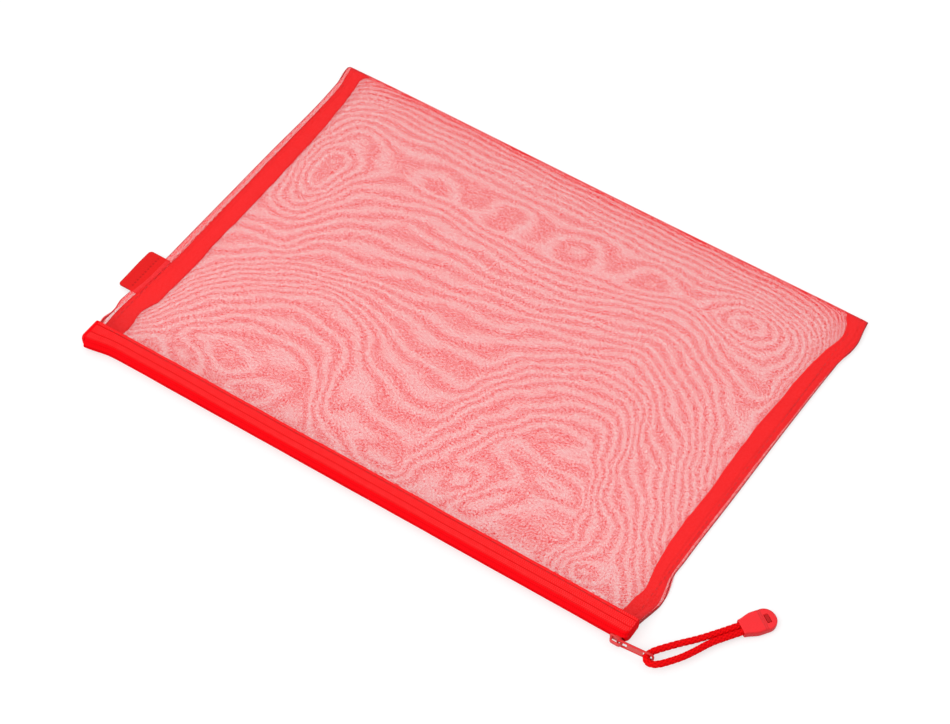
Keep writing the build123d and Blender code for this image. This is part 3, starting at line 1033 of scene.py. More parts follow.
class WALLET_OT_bindings(bpy.types.Operator):
    """Makes the two folded tapes that bind the side seams."""

    bl_idname = "wallet.bindings"
    bl_label = "Bindings"

    def execute(self, context):
        finish = binding_finish(context.scene.wallet_colours)
        for end, side in (("left", -1), ("right", 1)):
            points, cloth, tone = binding_shape(side)
            looks = {"uv": cloth, "tone": tone}
            piece = ringed_piece(end + "_binding", points, finish, "wallet", "binding", **looks)
            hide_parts(end + "_binding_tape")
        return {"FINISHED"}


# Zipper tapes

# At the left and right end: where the tapes stop along X, the plan radius of the nose, the share of
# its height that it loses, how far its cloth bulges, and how far behind the front edge it closes
TAPE_END = {-1: tape_low.x + 1.2 * MM, 1: tape_high.x + 0.3 * MM}
NOSE_ROUND = {-1: 1.3 * MM, 1: 3.0 * MM}
NOSE_SINK = {-1: 0.2, 1: 0.1}
NOSE_BULGE = {-1: 3.7 * MM, 1: 0.6 * MM}
NOSE_BEHIND = {-1: 0.3 * MM, 1: 2.1 * MM}
# How far the left nose swells forward, and how far along X
NOSE_SWELL = 2.9 * MM
NOSE_SPREAD = 11 * MM
# How far behind a tape's edge its lip and its half of the coil would gather as the chain parts; the
# levels made from it are not used
PARTING = 1.2 * MM


def nose_swell(x, y):
    """How far the zipper's left nose swells forward: a bell along X that grows to the front."""
    ahead = np.clip((lap_y - y) / (lap_y - front_y), 0, 1)
    return NOSE_SWELL * bell(x - TAPE_END[-1], NOSE_SPREAD) * ahead


def zip_stations(count):
    """Places along the zipper from end to end, close together at its two noses."""
    ease = 1 - np.cos(np.linspace(0, QUARTER, 14))
    left = TAPE_END[-1] + NOSE_ROUND[-1] * ease
    right = TAPE_END[1] - NOSE_ROUND[1] * ease[::-1]
    return np.concatenate([left, np.linspace(left[-1], right[0], count)[1:-1], right])[:, None]


def nose_drawn(points):
    """The points with the zipper's two ends drawn in to noses.

    At each end the front turns back in a quarter round in plan and gets lower with it, and the left
    nose swells forward.
    """
    still_y = lap_y - 3 * MM
    x, y, z = points[..., 0], points[..., 1], points[..., 2]
    back = 0
    shrink = 1
    for side in (-1, 1):
        past = 1 - np.clip(side * (TAPE_END[side] - x) / NOSE_ROUND[side], 0, 1)
        pull = 1 - np.sqrt(1 - past**2)
        back = back + NOSE_ROUND[side] * pull
        shrink = shrink - NOSE_SINK[side] * pull
    back = back * smooth_step((still_y - y) / (still_y - front_y)) - nose_swell(x, y)
    return stacked(x, y + back, chain_middle + (z - chain_middle) * shrink)


def tape_shape(sizes):
    """Points, cloth coordinates and shade of the upper tape, and which faces of a ring are its front.

    Its section runs forward over the wallet, round the front bend and down to the chain, with
    ribs, three sewn grooves and a beaded back edge; it is carried along X to a nose at each end.
    """
    bend = 1.5 * MM
    cord_room = 0.25 * MM
    sewn_at = ((1.0, 1.7 * MM), (1.0, 6.2 * MM), (0.7, 9.6 * MM))
    groove_depth = 0.2 * MM
    groove_width = 0.3 * MM
    bead_at = 0.5 * MM
    bead_height = 0.12 * MM
    bead_width = 0.35 * MM
    front_from = 9.8 * MM
    crown_tone = 1.1
    groove_shade = 0.95
    rib_shade = 0.2
    flat_run = lap_y - front_y - bend
    arc_run = bend * QUARTER
    drop_run = nose - bend - tape_low.z - cord_room
    run = np.linspace(0, flat_run + arc_run + drop_run, 130)
    turn = np.clip((run - flat_run) / bend, 0, QUARTER)
    drop = np.clip(run - flat_run - arc_run, 0, None)
    y = lap_y - np.minimum(run, flat_run) - bend * np.sin(turn)
    z = nose - bend * (1 - np.cos(turn)) - drop
    out_y = -np.sin(turn)
    out_z = np.cos(turn)
    grooves = sum(depth * bell(run - place, groove_width) for depth, place in sewn_at)
    bead = bell(run - bead_at, bead_width)
    ribs = 0.5 + 0.5 * np.cos(TURN * run / sizes.rib_pitch)
    lift = sizes.rib_height * (ribs - 1) - groove_depth * grooves + bead_height * bead
    inner_run = run[::-4]
    ring_y = np.concatenate([y + out_y * lift, (y - out_y * tape_thick)[::-4]])
    ring_z = np.concatenate([z + out_z * lift, (z - out_z * tape_thick)[::-4]])
    ring_run = np.concatenate([run, inner_run])
    # Painted shade in the sewn grooves and between the ribs
    tone = crown_tone - groove_shade * np.clip(grooves, 0, 1) - rib_shade * (1 - ribs)
    ring_tone = np.concatenate([np.clip(tone, 0, 1), np.ones(inner_run.size)])
    is_front = np.concatenate([run > front_from, np.zeros(inner_run.size, dtype=bool)])
    x = zip_stations(110)
    wave = wander(x, (0.10 * MM, 120 * MM, 0.15), (0.06 * MM, 47 * MM, 0.5))
    points = stacked(x, ring_y + wave * (ring_run < flat_run), ring_z)
    cloth = stacked(ring_run, x)
    return nose_drawn(points), cloth, np.broadcast_to(ring_tone, points.shape[:2]), is_front


def upside_down(points):
    """The points turned over about the middle of the chain."""
    return points * (1, 1, -1) + (0, 0, 2 * chain_middle)


def lip_shape(reach):
    """Points, cloth coordinates and shade of the upper tape's lip in front of the chain.

    Its section leaves the tape's edge, swells forward over the coil and hangs straight down to the
    given height; it is carried along X from nose to nose, and drawn up where the slider parts it.
    """
    thick = 0.22 * MM
    proud = coil_low.y - 0.3 * MM
    drop = np.array([0.45, 0.1, -0.12, -0.4, -0.75, -1.1]) * MM
    forward = np.array([0.25, 0.12, -0.25, -0.7, -0.97, -1.1]) * MM
    hang_start = tape_low.z - 1.3 * MM
    hem_width = 0.28 * MM
    line_over = 0.55 * MM
    line_width = 0.16 * MM
    line_shade = 0.6
    parted_from = slider_low.x + 4 * MM
    parted_ease = 2.5 * MM
    parted_to = slider_high.x - 1.4 * MM
    closing_ease = 1 * MM
    parted_share = 0.8
    hang = np.linspace(hang_start, reach, 9)
    down = np.concatenate([tape_low.z + drop, hang])
    out = np.concatenate([front_y + forward, np.full(hang.size, proud)])
    outer = stacked(out, down)
    slope = unit(np.gradient(outer, axis=0))
    inner = outer + thick * slope[:, ::-1] * (-1, 1)
    ring = np.concatenate([outer, inner[::-1]])
    ring_y, ring_z = ring.T
    x = zip_stations(150)
    opened = smooth_step((x - parted_from) / parted_ease)
    parted = parted_share * (opened - smooth_step((x - parted_to) / closing_ease))
    wave = wander(x, (0.07 * MM, 83 * MM, 0.3), (0.05 * MM, 29 * MM, 0.1))
    z = ring_z + wave * bell(ring_z - reach, hem_width)
    z = z + np.clip(tape_low.z - z, 0, None) * parted
    points = stacked(x, ring_y, z)
    cloth = stacked(run_along(ring), x)
    tone = 1 - line_shade * bell(ring_z - reach - line_over, line_width)
    return nose_drawn(points), cloth, np.broadcast_to(tone, points.shape[:2])


def tape_end_shape(side):
    """Points, cloth coordinates and shade of the cloth that closes one end of the zipper.

    Its section is an arch that stands across the end from the lower tape to the upper one.  It is
    carried along the side from behind the tapes to the nose, where it closes in a quarter ellipse.
    """
    height = 0.91 * (nose - chain_middle)
    squareness = 0.95
    inner_out = 0.7
    inner_up = 0.93
    thick = 0.2 * MM
    behind = 0.1 * MM
    overlap = 0.3 * MM
    nose_run = 2.8 * MM
    nose_least = 0.06
    lean = np.linspace(-QUARTER, QUARTER, 31)
    arch_out = NOSE_BULGE[side] * np.cos(lean).clip(0, 1) ** squareness
    arch_up = height * np.sign(lean) * np.abs(np.sin(lean)) ** squareness
    out = np.concatenate([arch_out, inner_out * arch_out[::-1] - thick])
    up = np.concatenate([arch_up, inner_up * arch_up[::-1]])
    nose_end = front_y + NOSE_BEHIND[side]
    straight = np.linspace(lap_y + behind, nose_end + nose_run, 16)
    turned = nose_end + nose_run * np.cos(np.linspace(0, QUARTER, 12)[1:])
    y = np.concatenate([straight, turned])[:, None]
    past = np.clip((nose_end + nose_run - y) / nose_run, 0, 1)
    bulge = nose_least + (1 - nose_least) * np.sqrt(1 - past**2)
    x = TAPE_END[side] + side * (out * bulge - overlap)
    swollen = y - nose_swell(TAPE_END[side], y)
    rings = stacked(x, swollen, chain_middle + up)
    return rings, stacked(up, y), np.ones(rings.shape[:2])


class WALLET_OT_zip_tapes(bpy.types.Operator):
    """Makes the zipper's upper and lower tapes, their lips over the chain and their closed ends."""

    bl_idname = "wallet.zip_tapes"
    bl_label = "Zipper Tapes"

    def execute(self, context):
        sizes = context.scene.wallet_sizes
        colours = context.scene.wallet_colours
        # Tops take the paler tape colour with its painted sheen; the fronts, lips and ends take the
        # deeper lip colour; both finishes are the same ribbed cloth
        sheened_top_finish = tape_finish("zip_tape_sheen_weave", sizes, colours.tape)
        smooth = tape_finish("zip_lip_shade_weave", sizes, colours.lip)

        def cloth_piece(name, finish, points, cloth, tone):
            looks = {"uv": cloth, "tone": tone}
            return ringed_piece(name, points, finish, "wallet", "zip_tape", **looks)

        points, *looks, is_front = tape_shape(sizes)
        upper = cloth_piece("upper_tape", sheened_top_finish, points, *looks)
        lower = cloth_piece("lower_tape", sheened_top_finish, upside_down(points), *looks)
        for tape, node in ((upper, "upper_zip_tape"), (lower, "lower_zip_tape")):
            tape.data.materials.append(smooth)
            strips = np.concatenate([np.tile(is_front, len(points) - 1), [False, False]])
            tape.data.polygons.foreach_set("material_index", strips.astype(np.int32))
            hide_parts(node)
        upper_lip_end = chain_middle - 0.4 * MM
        lower_lip_end = chain_middle - 1.15 * MM
        points, *looks = lip_shape(upper_lip_end)
        upper_lip = cloth_piece("upper_tape_lip", smooth, points, *looks)
        points, *looks = lip_shape(2 * chain_middle - lower_lip_end)
        lower_lip = cloth_piece("lower_tape_lip", smooth, upside_down(points), *looks)
        gathered_up = tape_low.z + PARTING
        gathered_down = lower_tape_high.z - PARTING
        for lip, level in ((upper_lip, gathered_up), (lower_lip, gathered_down)):
            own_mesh(lip)
        cloth_piece("left_tape_end", smooth, *tape_end_shape(-1))
        cloth_piece("right_tape_end", smooth, *tape_end_shape(1))
        return {"FINISHED"}


# Coil


def coil_shape(sizes, side):
    """Points of one half of the coil: a flattened helix along X, with round wire.

    One turn goes from its tape's edge to just past the middle of the chain and back, and the
    other half is shifted by half a pitch so that the heads interlock.
    """
    steps = 12
    overlap = 0.45 * MM
    wire = sizes.coil_wire / 2
    turns = int((coil_high.x - coil_low.x) / sizes.coil_pitch) - 1
    angle = np.arange(turns * steps + 1) * (TURN / steps)
    reach = (coil_high.z - chain_middle + overlap) / 2 - wire
    depth = (coil_high.y - coil_low.y) / 2 - wire
    middle = (coil_high.z - chain_middle - overlap) / 2
    x = coil_low.x + sizes.coil_pitch * (angle / TURN + 0.5 + 0.25 * side)
    y = (coil_low.y + coil_high.y) / 2 + depth * np.sin(angle)
    z = chain_middle + side * (middle - reach * np.cos(angle))
    spin = np.arange(5) * (TURN / 5)
    across = np.broadcast_to(wire * np.cos(spin), (x.size, spin.size))
    along_up = np.broadcast_to(wire * np.sin(spin), (x.size, spin.size))
    return swept_rings(stacked(x, y, z), np.array([1.0, 0.0, 0.0]), across, along_up)


class WALLET_OT_coil(bpy.types.Operator):
    """Makes the two interlocked halves of the coil."""

    bl_idname = "wallet.coil"
    bl_label = "Coil"

    def execute(self, context):
        finish = coil_finish(context.scene.wallet_colours)
        gathered_up = coil_high.z + PARTING
        gathered_down = lower_coil_low.z - PARTING
        for node, side, level in (("upper_coil", 1, gathered_up), ("lower_coil", -1, gathered_down)):
            rings = coil_shape(context.scene.wallet_sizes, side)
            piece = ringed_piece(node + "_turns", rings, finish, "wallet", "coil")
            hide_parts(node)
            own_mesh(piece)
        return {"FINISHED"}


# Slider and tab


def slab(centre, half_sizes, radius, edge):
    """Rings of a flat plate that faces Y: a rounded rectangle whose rim is rounded over by edge."""
    core = np.array([0.02, 0.6])
    corner_draw = 0.5
    half_x, half_y, half_z = half_sizes
    lean = np.linspace(0, math.pi, 11)
    draw = edge * (1 - np.sin(lean))
    depth = -np.cos(lean) * edge - np.sign(np.cos(lean)) * (half_y - edge)
    shrink = np.concatenate([core, np.ones(lean.size), core[::-1]])
    draw = np.concatenate([[edge] * 2, draw, [edge] * 2])
    depth = np.concatenate([[-half_y] * 2, depth, [half_y] * 2])
    wide = (half_x - draw) * shrink
    tall = (half_z - draw) * shrink
    corner = (radius - draw * corner_draw) * shrink
    across, up = rounded_ring(wide, tall, corner, 6, 6)
    return stacked(centre[0] + across, centre[1] + depth[:, None], centre[2] + up)


def arch_path(corners, radius, steps):
    """Points along straight runs whose corners are quarter arcs of one radius, in the XY plane."""
    lean = np.linspace(0, QUARTER, steps)[:, None]
    places = [corners[0]]
    for before, corner, after in zip(corners, corners[1:], corners[2:]):
        into = unit(corner - before) * radius
        away = unit(after - corner) * radius
        places.extend(corner - into * (1 - np.sin(lean)) + away * (1 - np.cos(lean)))
    places.append(corners[-1])
    return np.array(places)


def slider_shape():
    """The slider's two plates, its wedge and flanges, and the bridge in front of it.

    The front plate is a small shield that narrows towards the closed end of the zipper.
    """
    plate = 1.1 * MM
    plate_round = 1.9 * MM
    plate_edge = 0.4 * MM
    bridge_depth = 2.9 * MM
    shield_half = (3.9 * MM, plate / 2, 1.8 * MM)
    shield_round = 1.2 * MM
    shield_drop = 0.3 * MM
    shield_narrow = 0.4
    set_back = 0.1 * MM
    wedge_from_end = 3.8 * MM
    wedge_half_length = 2 * MM
    wedge_half_height = 1.2 * MM
    wedge_round = 1.1 * MM
    small_edge = 0.1 * MM
    flange_half = (3.5 * MM, 0.3 * MM, 0.4 * MM)
    flange_round = 0.3 * MM
    flange_sunk = 0.2 * MM
    leg = 0.5 * MM
    leg_half_height = 1.1 * MM
    leg_edge = 0.35 * MM
    leg_sunk = 0.3 * MM
    bridge_length = 6.8 * MM
    bridge_round = 1.3 * MM
    # Share of the flats' colour, with its painted sheen, over the whole slider
    lacquer_sheen = 0.6

    bridge_back = slider_low.y + bridge_depth
    outer_back = bridge_back + plate
    inner_front = slider_high.y - plate
    middle_x = (slider_low.x + slider_high.x) / 2
    half_x = (slider_high.x - slider_low.x) / 2
    half_z = (slider_high.z - slider_low.z) / 2
    inner_middle = (middle_x, slider_high.y - plate / 2, chain_middle)
    solids = [slab(inner_middle, (half_x, plate / 2, half_z), plate_round, plate_edge)]

    shield_x = slider_high.x - shield_half[0] - set_back
    shield_z = chain_middle - shield_drop
    shield_middle = (shield_x, bridge_back + plate / 2, shield_z)
    shield = slab(shield_middle, shield_half, shield_round, plate_edge)
    along_shield = (shield[..., 0] - shield_x + shield_half[0]) / (2 * shield_half[0])
    narrow = 1 - shield_narrow * smooth_step(along_shield)
    shield[..., 2] = shield_z + (shield[..., 2] - shield_z) * narrow
    solids.append(shield)

    wedge_middle = (slider_high.x - wedge_from_end, (inner_front + outer_back) / 2, chain_middle)
    wedge_half_depth = (inner_front - outer_back) / 2 + small_edge
    wedge_half = (wedge_half_length, wedge_half_depth, wedge_half_height)
    solids.append(slab(wedge_middle, wedge_half, wedge_round, small_edge))
    for lift in (-1, 1):
        flange_z = chain_middle + lift * (half_z - flange_half[2])
        flange_middle = (middle_x, inner_front - flange_sunk, flange_z)
        solids.append(slab(flange_middle, flange_half, flange_round, small_edge))

    right_x = slider_high.x - set_back - leg
    left_x = slider_high.x - set_back - bridge_length + leg
    leg_back = bridge_back + leg_sunk
    leg_front = slider_low.y + leg
    plan = ((left_x, leg_back), (left_x, leg_front), (right_x, leg_front), (right_x, leg_back))
    corners = np.array([(x, y, chain_middle) for x, y in plan])
    path = arch_path(corners, bridge_round, 9)
    across, up = rounded_ring(np.full(len(path), leg), leg_half_height, leg_edge, 4, 4)
    solids.append(swept_rings(path, UPWARD, across, up))
    points, faces = joined([(rings, capped_rings(rings)) for rings in solids])
    return points, faces, np.full(len(points), lacquer_sheen)


class WALLET_OT_slider(bpy.types.Operator):
    """Makes the slider with its plates, wedge and bridge."""

    bl_idname = "wallet.slider"
    bl_label = "Slider"

    def execute(self, context):
        points, faces, tone = slider_shape()
        finish = lacquer_finish("slider_lacquer", context.scene.wallet_colours)
        piece = new_piece("slider", points, faces, finish, "slider", "slider", tone=tone)
        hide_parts("slider_body")
        return {"FINISHED"}


def tab_shape():
    """The tab: a round rim bent into a long loop, with a thinner panel across its middle."""
    yaw = math.radians(5.0)
    rail = 2.1 * MM
    corner = 1.5 * MM
    wire = 0.58 * MM
    sides = 12
    near_slot = 5.0 * MM
    far_slot = 5.5 * MM
    panel_half_thick = 0.34 * MM
    panel_round = 0.5 * MM
    panel_edge = 0.2 * MM
    # Share of the flats' colour, with its painted sheen, on the rim and on the panel
    rim_sheen = 0.15
    panel_sheen = 1.0
    hinge = np.array(joint_places["pull_tab_swing"])
    far = np.array(joint_places["cord_swing"])
    ahead = np.array([math.cos(yaw), math.sin(yaw), 0.0])
    aside = np.array([math.sin(yaw), -math.cos(yaw), 0.0])
    reach = float(np.linalg.norm(far - hinge))

    quarter = np.linspace(0, QUARTER, 8)
    angle = (np.arange(4)[:, None] * QUARTER + quarter).ravel()
    far_side = np.repeat([1, -1, -1, 1], quarter.size)
    upper_side = np.repeat([1, 1, -1, -1], quarter.size)
    along = reach / 2 + far_side * (reach / 2 - corner) + corner * np.cos(angle)
    lift = upper_side * (rail - corner) + corner * np.sin(angle)
    path = hinge + along[:, None] * ahead + lift[:, None] * UPWARD
    tangent = unit(np.roll(path, -1, axis=0) - np.roll(path, 1, axis=0))
    outward = np.cross(tangent, aside)
    spin = (np.arange(sides) * (TURN / sides))[:, None]
    rim = path[:, None] + wire * (np.cos(spin) * outward[:, None] + np.sin(spin) * aside)
    rim_faces = grid_quads(len(path), sides, wrap_rows=True, wrap_columns=True).tolist()

    stop = reach - far_slot
    panel_half = ((stop - near_slot) / 2, panel_half_thick, rail)
    panel = slab(((near_slot + stop) / 2, 0, 0), panel_half, panel_round, panel_edge)
    placed = hinge + panel[..., :1] * ahead - panel[..., 1:2] * aside + panel[..., 2:] * UPWARD
    points, faces = joined([(rim, rim_faces), (placed, capped_rings(placed))])
    # Rims keep most of the deep red, the panel takes the paler flat colour with its painted sheen
    tone = np.repeat([rim_sheen, panel_sheen], [rim[..., 0].size, placed[..., 0].size])
    return points, faces, tone


class WALLET_OT_tab(bpy.types.Operator):
    """Makes the metal tab that joins the slider's bridge to the cord."""

    bl_idname = "wallet.tab"
    bl_label = "Pull Tab"

    def execute(self, context):
        points, faces, tone = tab_shape()
        finish = lacquer_finish("tab_lacquer", context.scene.wallet_colours)
        piece = new_piece("tab", points, faces, finish, "tab", "tab", tone=tone)
        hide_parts("pull_tab")
        return {"FINISHED"}


# Cord and its moulded end

# The way the pull heads, its fall over its length, and the cord's route along and across it in mm
CORD_HEADING = math.radians(56.0)
CORD_DIP = 1.85 / 65.5
CORD_ROUTE = [
    (54.5, 1.85),
    (46.0, 1.85),
    (36.5, 1.8),
    (24.5, 2.0),
    (13.5, 3.3),
    (-3.4, 3.9),
    (-3.4, -3.9),
    (11.5, -4.7),
    (20.5, -3.6),
    (29.0, -1.95),
    (37.5, -1.8),
    (46.0, -1.85),
    (54.5, -1.85),
]


def cord_axes():
    """The middle of the cord's fold, and the directions along, across and over the pull."""
    heading = np.array([math.cos(CORD_HEADING), math.sin(CORD_HEADING), 0.0])
    along = unit(heading - CORD_DIP * UPWARD)
    over = unit(CORD_DIP * heading + UPWARD)
    return np.array(joint_places["cord_swing"]), along, np.cross(over, along), over


def cord_line():
    """Points of the cord's middle, read from one smooth spline through its route."""
    fold, along, across, _ = cord_axes()
    route = np.array(CORD_ROUTE) * MM
    places = fold + route[:, :1] * along + route[:, 1:] * across
    curve = bpy.data.curves.new("cord_route", "CURVE")
    curve.dimensions = "3D"
    curve.resolution_u = 60
    spline = curve.splines.new("NURBS")
    spline.points.add(len(places) - 1)
    spline.points.foreach_set("co", np.column_stack([places, np.ones(len(places))]).ravel())
    spline.order_u = 3
    spline.use_endpoint_u = True
    holder = bpy.data.objects.new("cord_route", curve)
    bpy.context.scene.collection.objects.link(holder)
    bpy.context.view_layer.update()
    evaluated = holder.evaluated_get(bpy.context.evaluated_depsgraph_get())
    line = bpy.data.meshes.new_from_object(evaluated)
    points = np.empty(len(line.vertices) * 3, dtype=np.float64)
    line.vertices.foreach_get("co", points)
    bpy.data.objects.remove(holder)
    bpy.data.curves.remove(curve)
    bpy.data.meshes.remove(line)
    return points.reshape(-1, 3)


def braid_shape(sizes, line):
    """Rings, cloth coordinates and shade of a round braid along a line, and the rings' middles.

    Two families of strands wind opposite ways.  Each is a rounded ridge, lifted where it passes
    over the other family and lowered where it passes under.
    """
    ring_gap = 0.16 * MM
    relief_height = 0.45 * MM
    ridge_share = 0.75
    crossing_share = 0.25
    dark_under = 0.25
    dark_ease = 0.45
    over = cord_axes()[-1]
    run = run_along(line)
    radius = sizes.cord_diameter / 2
    even = np.linspace(0, run[-1], int(run[-1] / ring_gap))
    path = np.stack([np.interp(even, run, line[:, axis]) for axis in range(3)], axis=-1)
    spin = np.linspace(0, TURN, 49)[:-1]
    twist = TURN * even[:, None] / sizes.braid_lay
    forward = np.cos(sizes.cord_strands * (spin - twist) / 2)
    backward = np.cos(sizes.cord_strands * (spin + twist) / 2)
    crossing = crossing_share * np.sign(forward * backward)
    forward_ridge = np.abs(forward) * (ridge_share + crossing)
    backward_ridge = np.abs(backward) * (ridge_share - crossing)
    high = np.maximum(forward_ridge, backward_ridge)
    distance = radius - relief_height * (1 - high)
    rings = swept_rings(path, over, distance * np.cos(spin), distance * np.sin(spin))
    cloth = stacked(spin * radius, even[:, None])
    # Painted shade where the braid's surface is low, between the strands
    tone = smooth_step((high - dark_under) / dark_ease)
    return rings, cloth, tone, path


class WALLET_OT_cord(bpy.types.Operator):
    """Makes the braided cord that is folded through the tab and held by the moulded end."""

    bl_idname = "wallet.cord"
    bl_label = "Cord"

    def execute(self, context):
        sizes = context.scene.wallet_sizes
        rings, cloth, tone, path = braid_shape(sizes, cord_line())
        finish = cord_finish(context.scene.wallet_colours)
        piece = ringed_piece("braided_cord", rings, finish, "pull", "cord", uv=cloth, tone=tone)
        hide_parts("pull_cord")
        return {"FINISHED"}


# Places along the pull from the middle of the cord's fold, and sizes across it
END_MOUTH = 46.5 * MM
END_LENGTH = 19.0 * MM
END_HALF_WIDTH = 6.25 * MM
END_HALF_HEIGHT = 2.2 * MM
WINDOW_START = END_MOUTH + END_LENGTH - 5.8 * MM
WINDOW_LENGTH = 2.4 * MM
WINDOW_HALF_WIDTH = 2.5 * MM


def end_shape():
    """Rings and shade of the moulded end: it widens from its mouth and closes in a round tip.

    The top has two shallow steps across it and a sunk window near the tip, and the mouth is
    hollowed for the two legs of the cord.
    """
    mouth_half = 4.5 * MM
    cheek_start = END_MOUTH + 0.42 * END_LENGTH
    tip_start = END_MOUTH + 0.68 * END_LENGTH
    tip_sink = 0.42
    tip_turn = 0.985 * QUARTER
    tip_most = 0.9999
    tip_run = END_MOUTH + END_LENGTH - tip_start
    steps_at = END_MOUTH + END_LENGTH * np.array([0.575, 0.635])
    step_half = 0.008 * END_LENGTH
    step_height = 0.34 * MM
    step_ease = 0.25 * MM
    step_line = 0.3 * MM
    lip_depth = 0.25 * MM
    lip_run = 0.5 * MM
    side_bend = 1.15 * MM
    bend_share = 0.9
    top_from = 0.55
    top_ease = 0.4
    window_depth = 1.5 * MM
    window_end = WINDOW_START + WINDOW_LENGTH
    window_ease = 0.2 * MM
    window_side_ease = 0.3 * MM
    rim_width = 0.9 * MM
    step_shade = 0.4
    rim_shade = 0.5

    lip = END_MOUTH + np.array([0.0, 0.05, 0.2]) * MM
    body = np.linspace(END_MOUTH + lip_run, tip_start, 30)
    tip = tip_start + tip_run * np.sin(np.linspace(0, tip_turn, 26))
    window = WINDOW_START + WINDOW_LENGTH * np.array([-0.06, 0.02, 0.1, 0.5, 0.9, 0.98, 1.06])
    step_marks = np.concatenate([steps_at - step_half, steps_at + step_half])
    outside = np.unique(np.concatenate([lip, body, tip, window, step_marks]))
    widen = smooth_step((outside - END_MOUTH) / (cheek_start - END_MOUTH))
    past = np.clip((outside - tip_start) / tip_run, 0, tip_most)
    lip_round = lip_depth * np.clip(1 - (outside - END_MOUTH) / lip_run, 0, 1) ** 2
    outside_wide = (mouth_half + (END_HALF_WIDTH - mouth_half) * widen) * np.sqrt(1 - past**2)
    outside_tall = END_HALF_HEIGHT * (1 - tip_sink * past**4)
    hollow = END_MOUTH + np.array([2.2, 2.2, 0.0]) * MM
    hollow_wide = np.array([0.3, 3.7, 3.7]) * MM
    hollow_tall = np.array([0.2, 1.85, 1.85]) * MM

    wide = np.concatenate([hollow_wide, outside_wide - lip_round])
    tall = np.concatenate([hollow_tall, outside_tall - lip_round])
    bend = np.minimum(np.minimum(wide, tall) * bend_share, side_bend)
    across, up = rounded_ring(wide, tall, bend, 45, 7)
    place = np.concatenate([hollow, outside])[:, None]
    wide = wide[:, None]
    tall = tall[:, None]
    is_outside = (np.arange(place.size) >= hollow.size)[:, None]
    is_top = smooth_step((up - top_from * tall) / (top_ease * tall)) * is_outside
    stepped = sum(smooth_step((place - step) / step_ease) for step in steps_at)
    in_window = smooth_step((WINDOW_HALF_WIDTH - np.abs(across)) / window_side_ease + 0.5)
    in_window = in_window * smooth_step((place - WINDOW_START) / window_ease + 0.5)
    in_window = in_window * smooth_step((window_end - place) / window_ease + 0.5)
    up = up - is_top * (step_height * stepped + window_depth * in_window)
    step_lines = sum(bell(place - step, step_line) for step in steps_at)
    rim = smooth_step((np.abs(across) - wide) / rim_width + 1)
    # Painted shade along the two steps on the top and down the sides
    tone = 1 - np.clip(step_shade * step_lines * is_top + rim_shade * rim, 0, 1)
    fold, ahead, aside, over = cord_axes()
    rings = fold + place[..., None] * ahead + across[..., None] * aside + up[..., None] * over
    return rings, tone


def catch_shape():
    """The plug's catch: a small rounded block that fills the window a little below its rim."""
    gap_along = 0.2 * MM
    gap_across = 0.25 * MM
    half_height = 0.9 * MM
    lift = 0.35 * MM
    corner = 0.35 * MM
    edge = 0.2 * MM
    half = (WINDOW_LENGTH / 2 - gap_along, half_height, WINDOW_HALF_WIDTH - gap_across)
    block = slab((WINDOW_START + WINDOW_LENGTH / 2, -lift, 0), half, corner, edge)
    fold, ahead, aside, over = cord_axes()
    return fold + block[..., :1] * ahead + block[..., 2:] * aside - block[..., 1:2] * over


class WALLET_OT_cord_end(bpy.types.Operator):
    """Makes the moulded end of the cord and the catch that shows in its window."""

    bl_idname = "wallet.cord_end"
    bl_label = "Cord End"

    def execute(self, context):
        colours = context.scene.wallet_colours
        shell, tone = end_shape()
        shell_finish = moulded_finish("cord_end_plastic", colours.cord_end)
        end = ringed_piece("cord_end", shell, shell_finish, "pull", "cord_end", tone=tone)
        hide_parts("cord_end_shell")
        block = catch_shape()
        plain = np.ones(block.shape[:2])
        # The catch is painted dark for the shade in the end's window
        shaded_catch_finish = moulded_finish("catch_shaded_plastic", colours.catch)
        catch = ringed_piece("cord_catch", block, shaded_catch_finish, "pull", "plug", tone=plain)
        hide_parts("cord_end_plug")
        return {"FINISHED"}


# Label


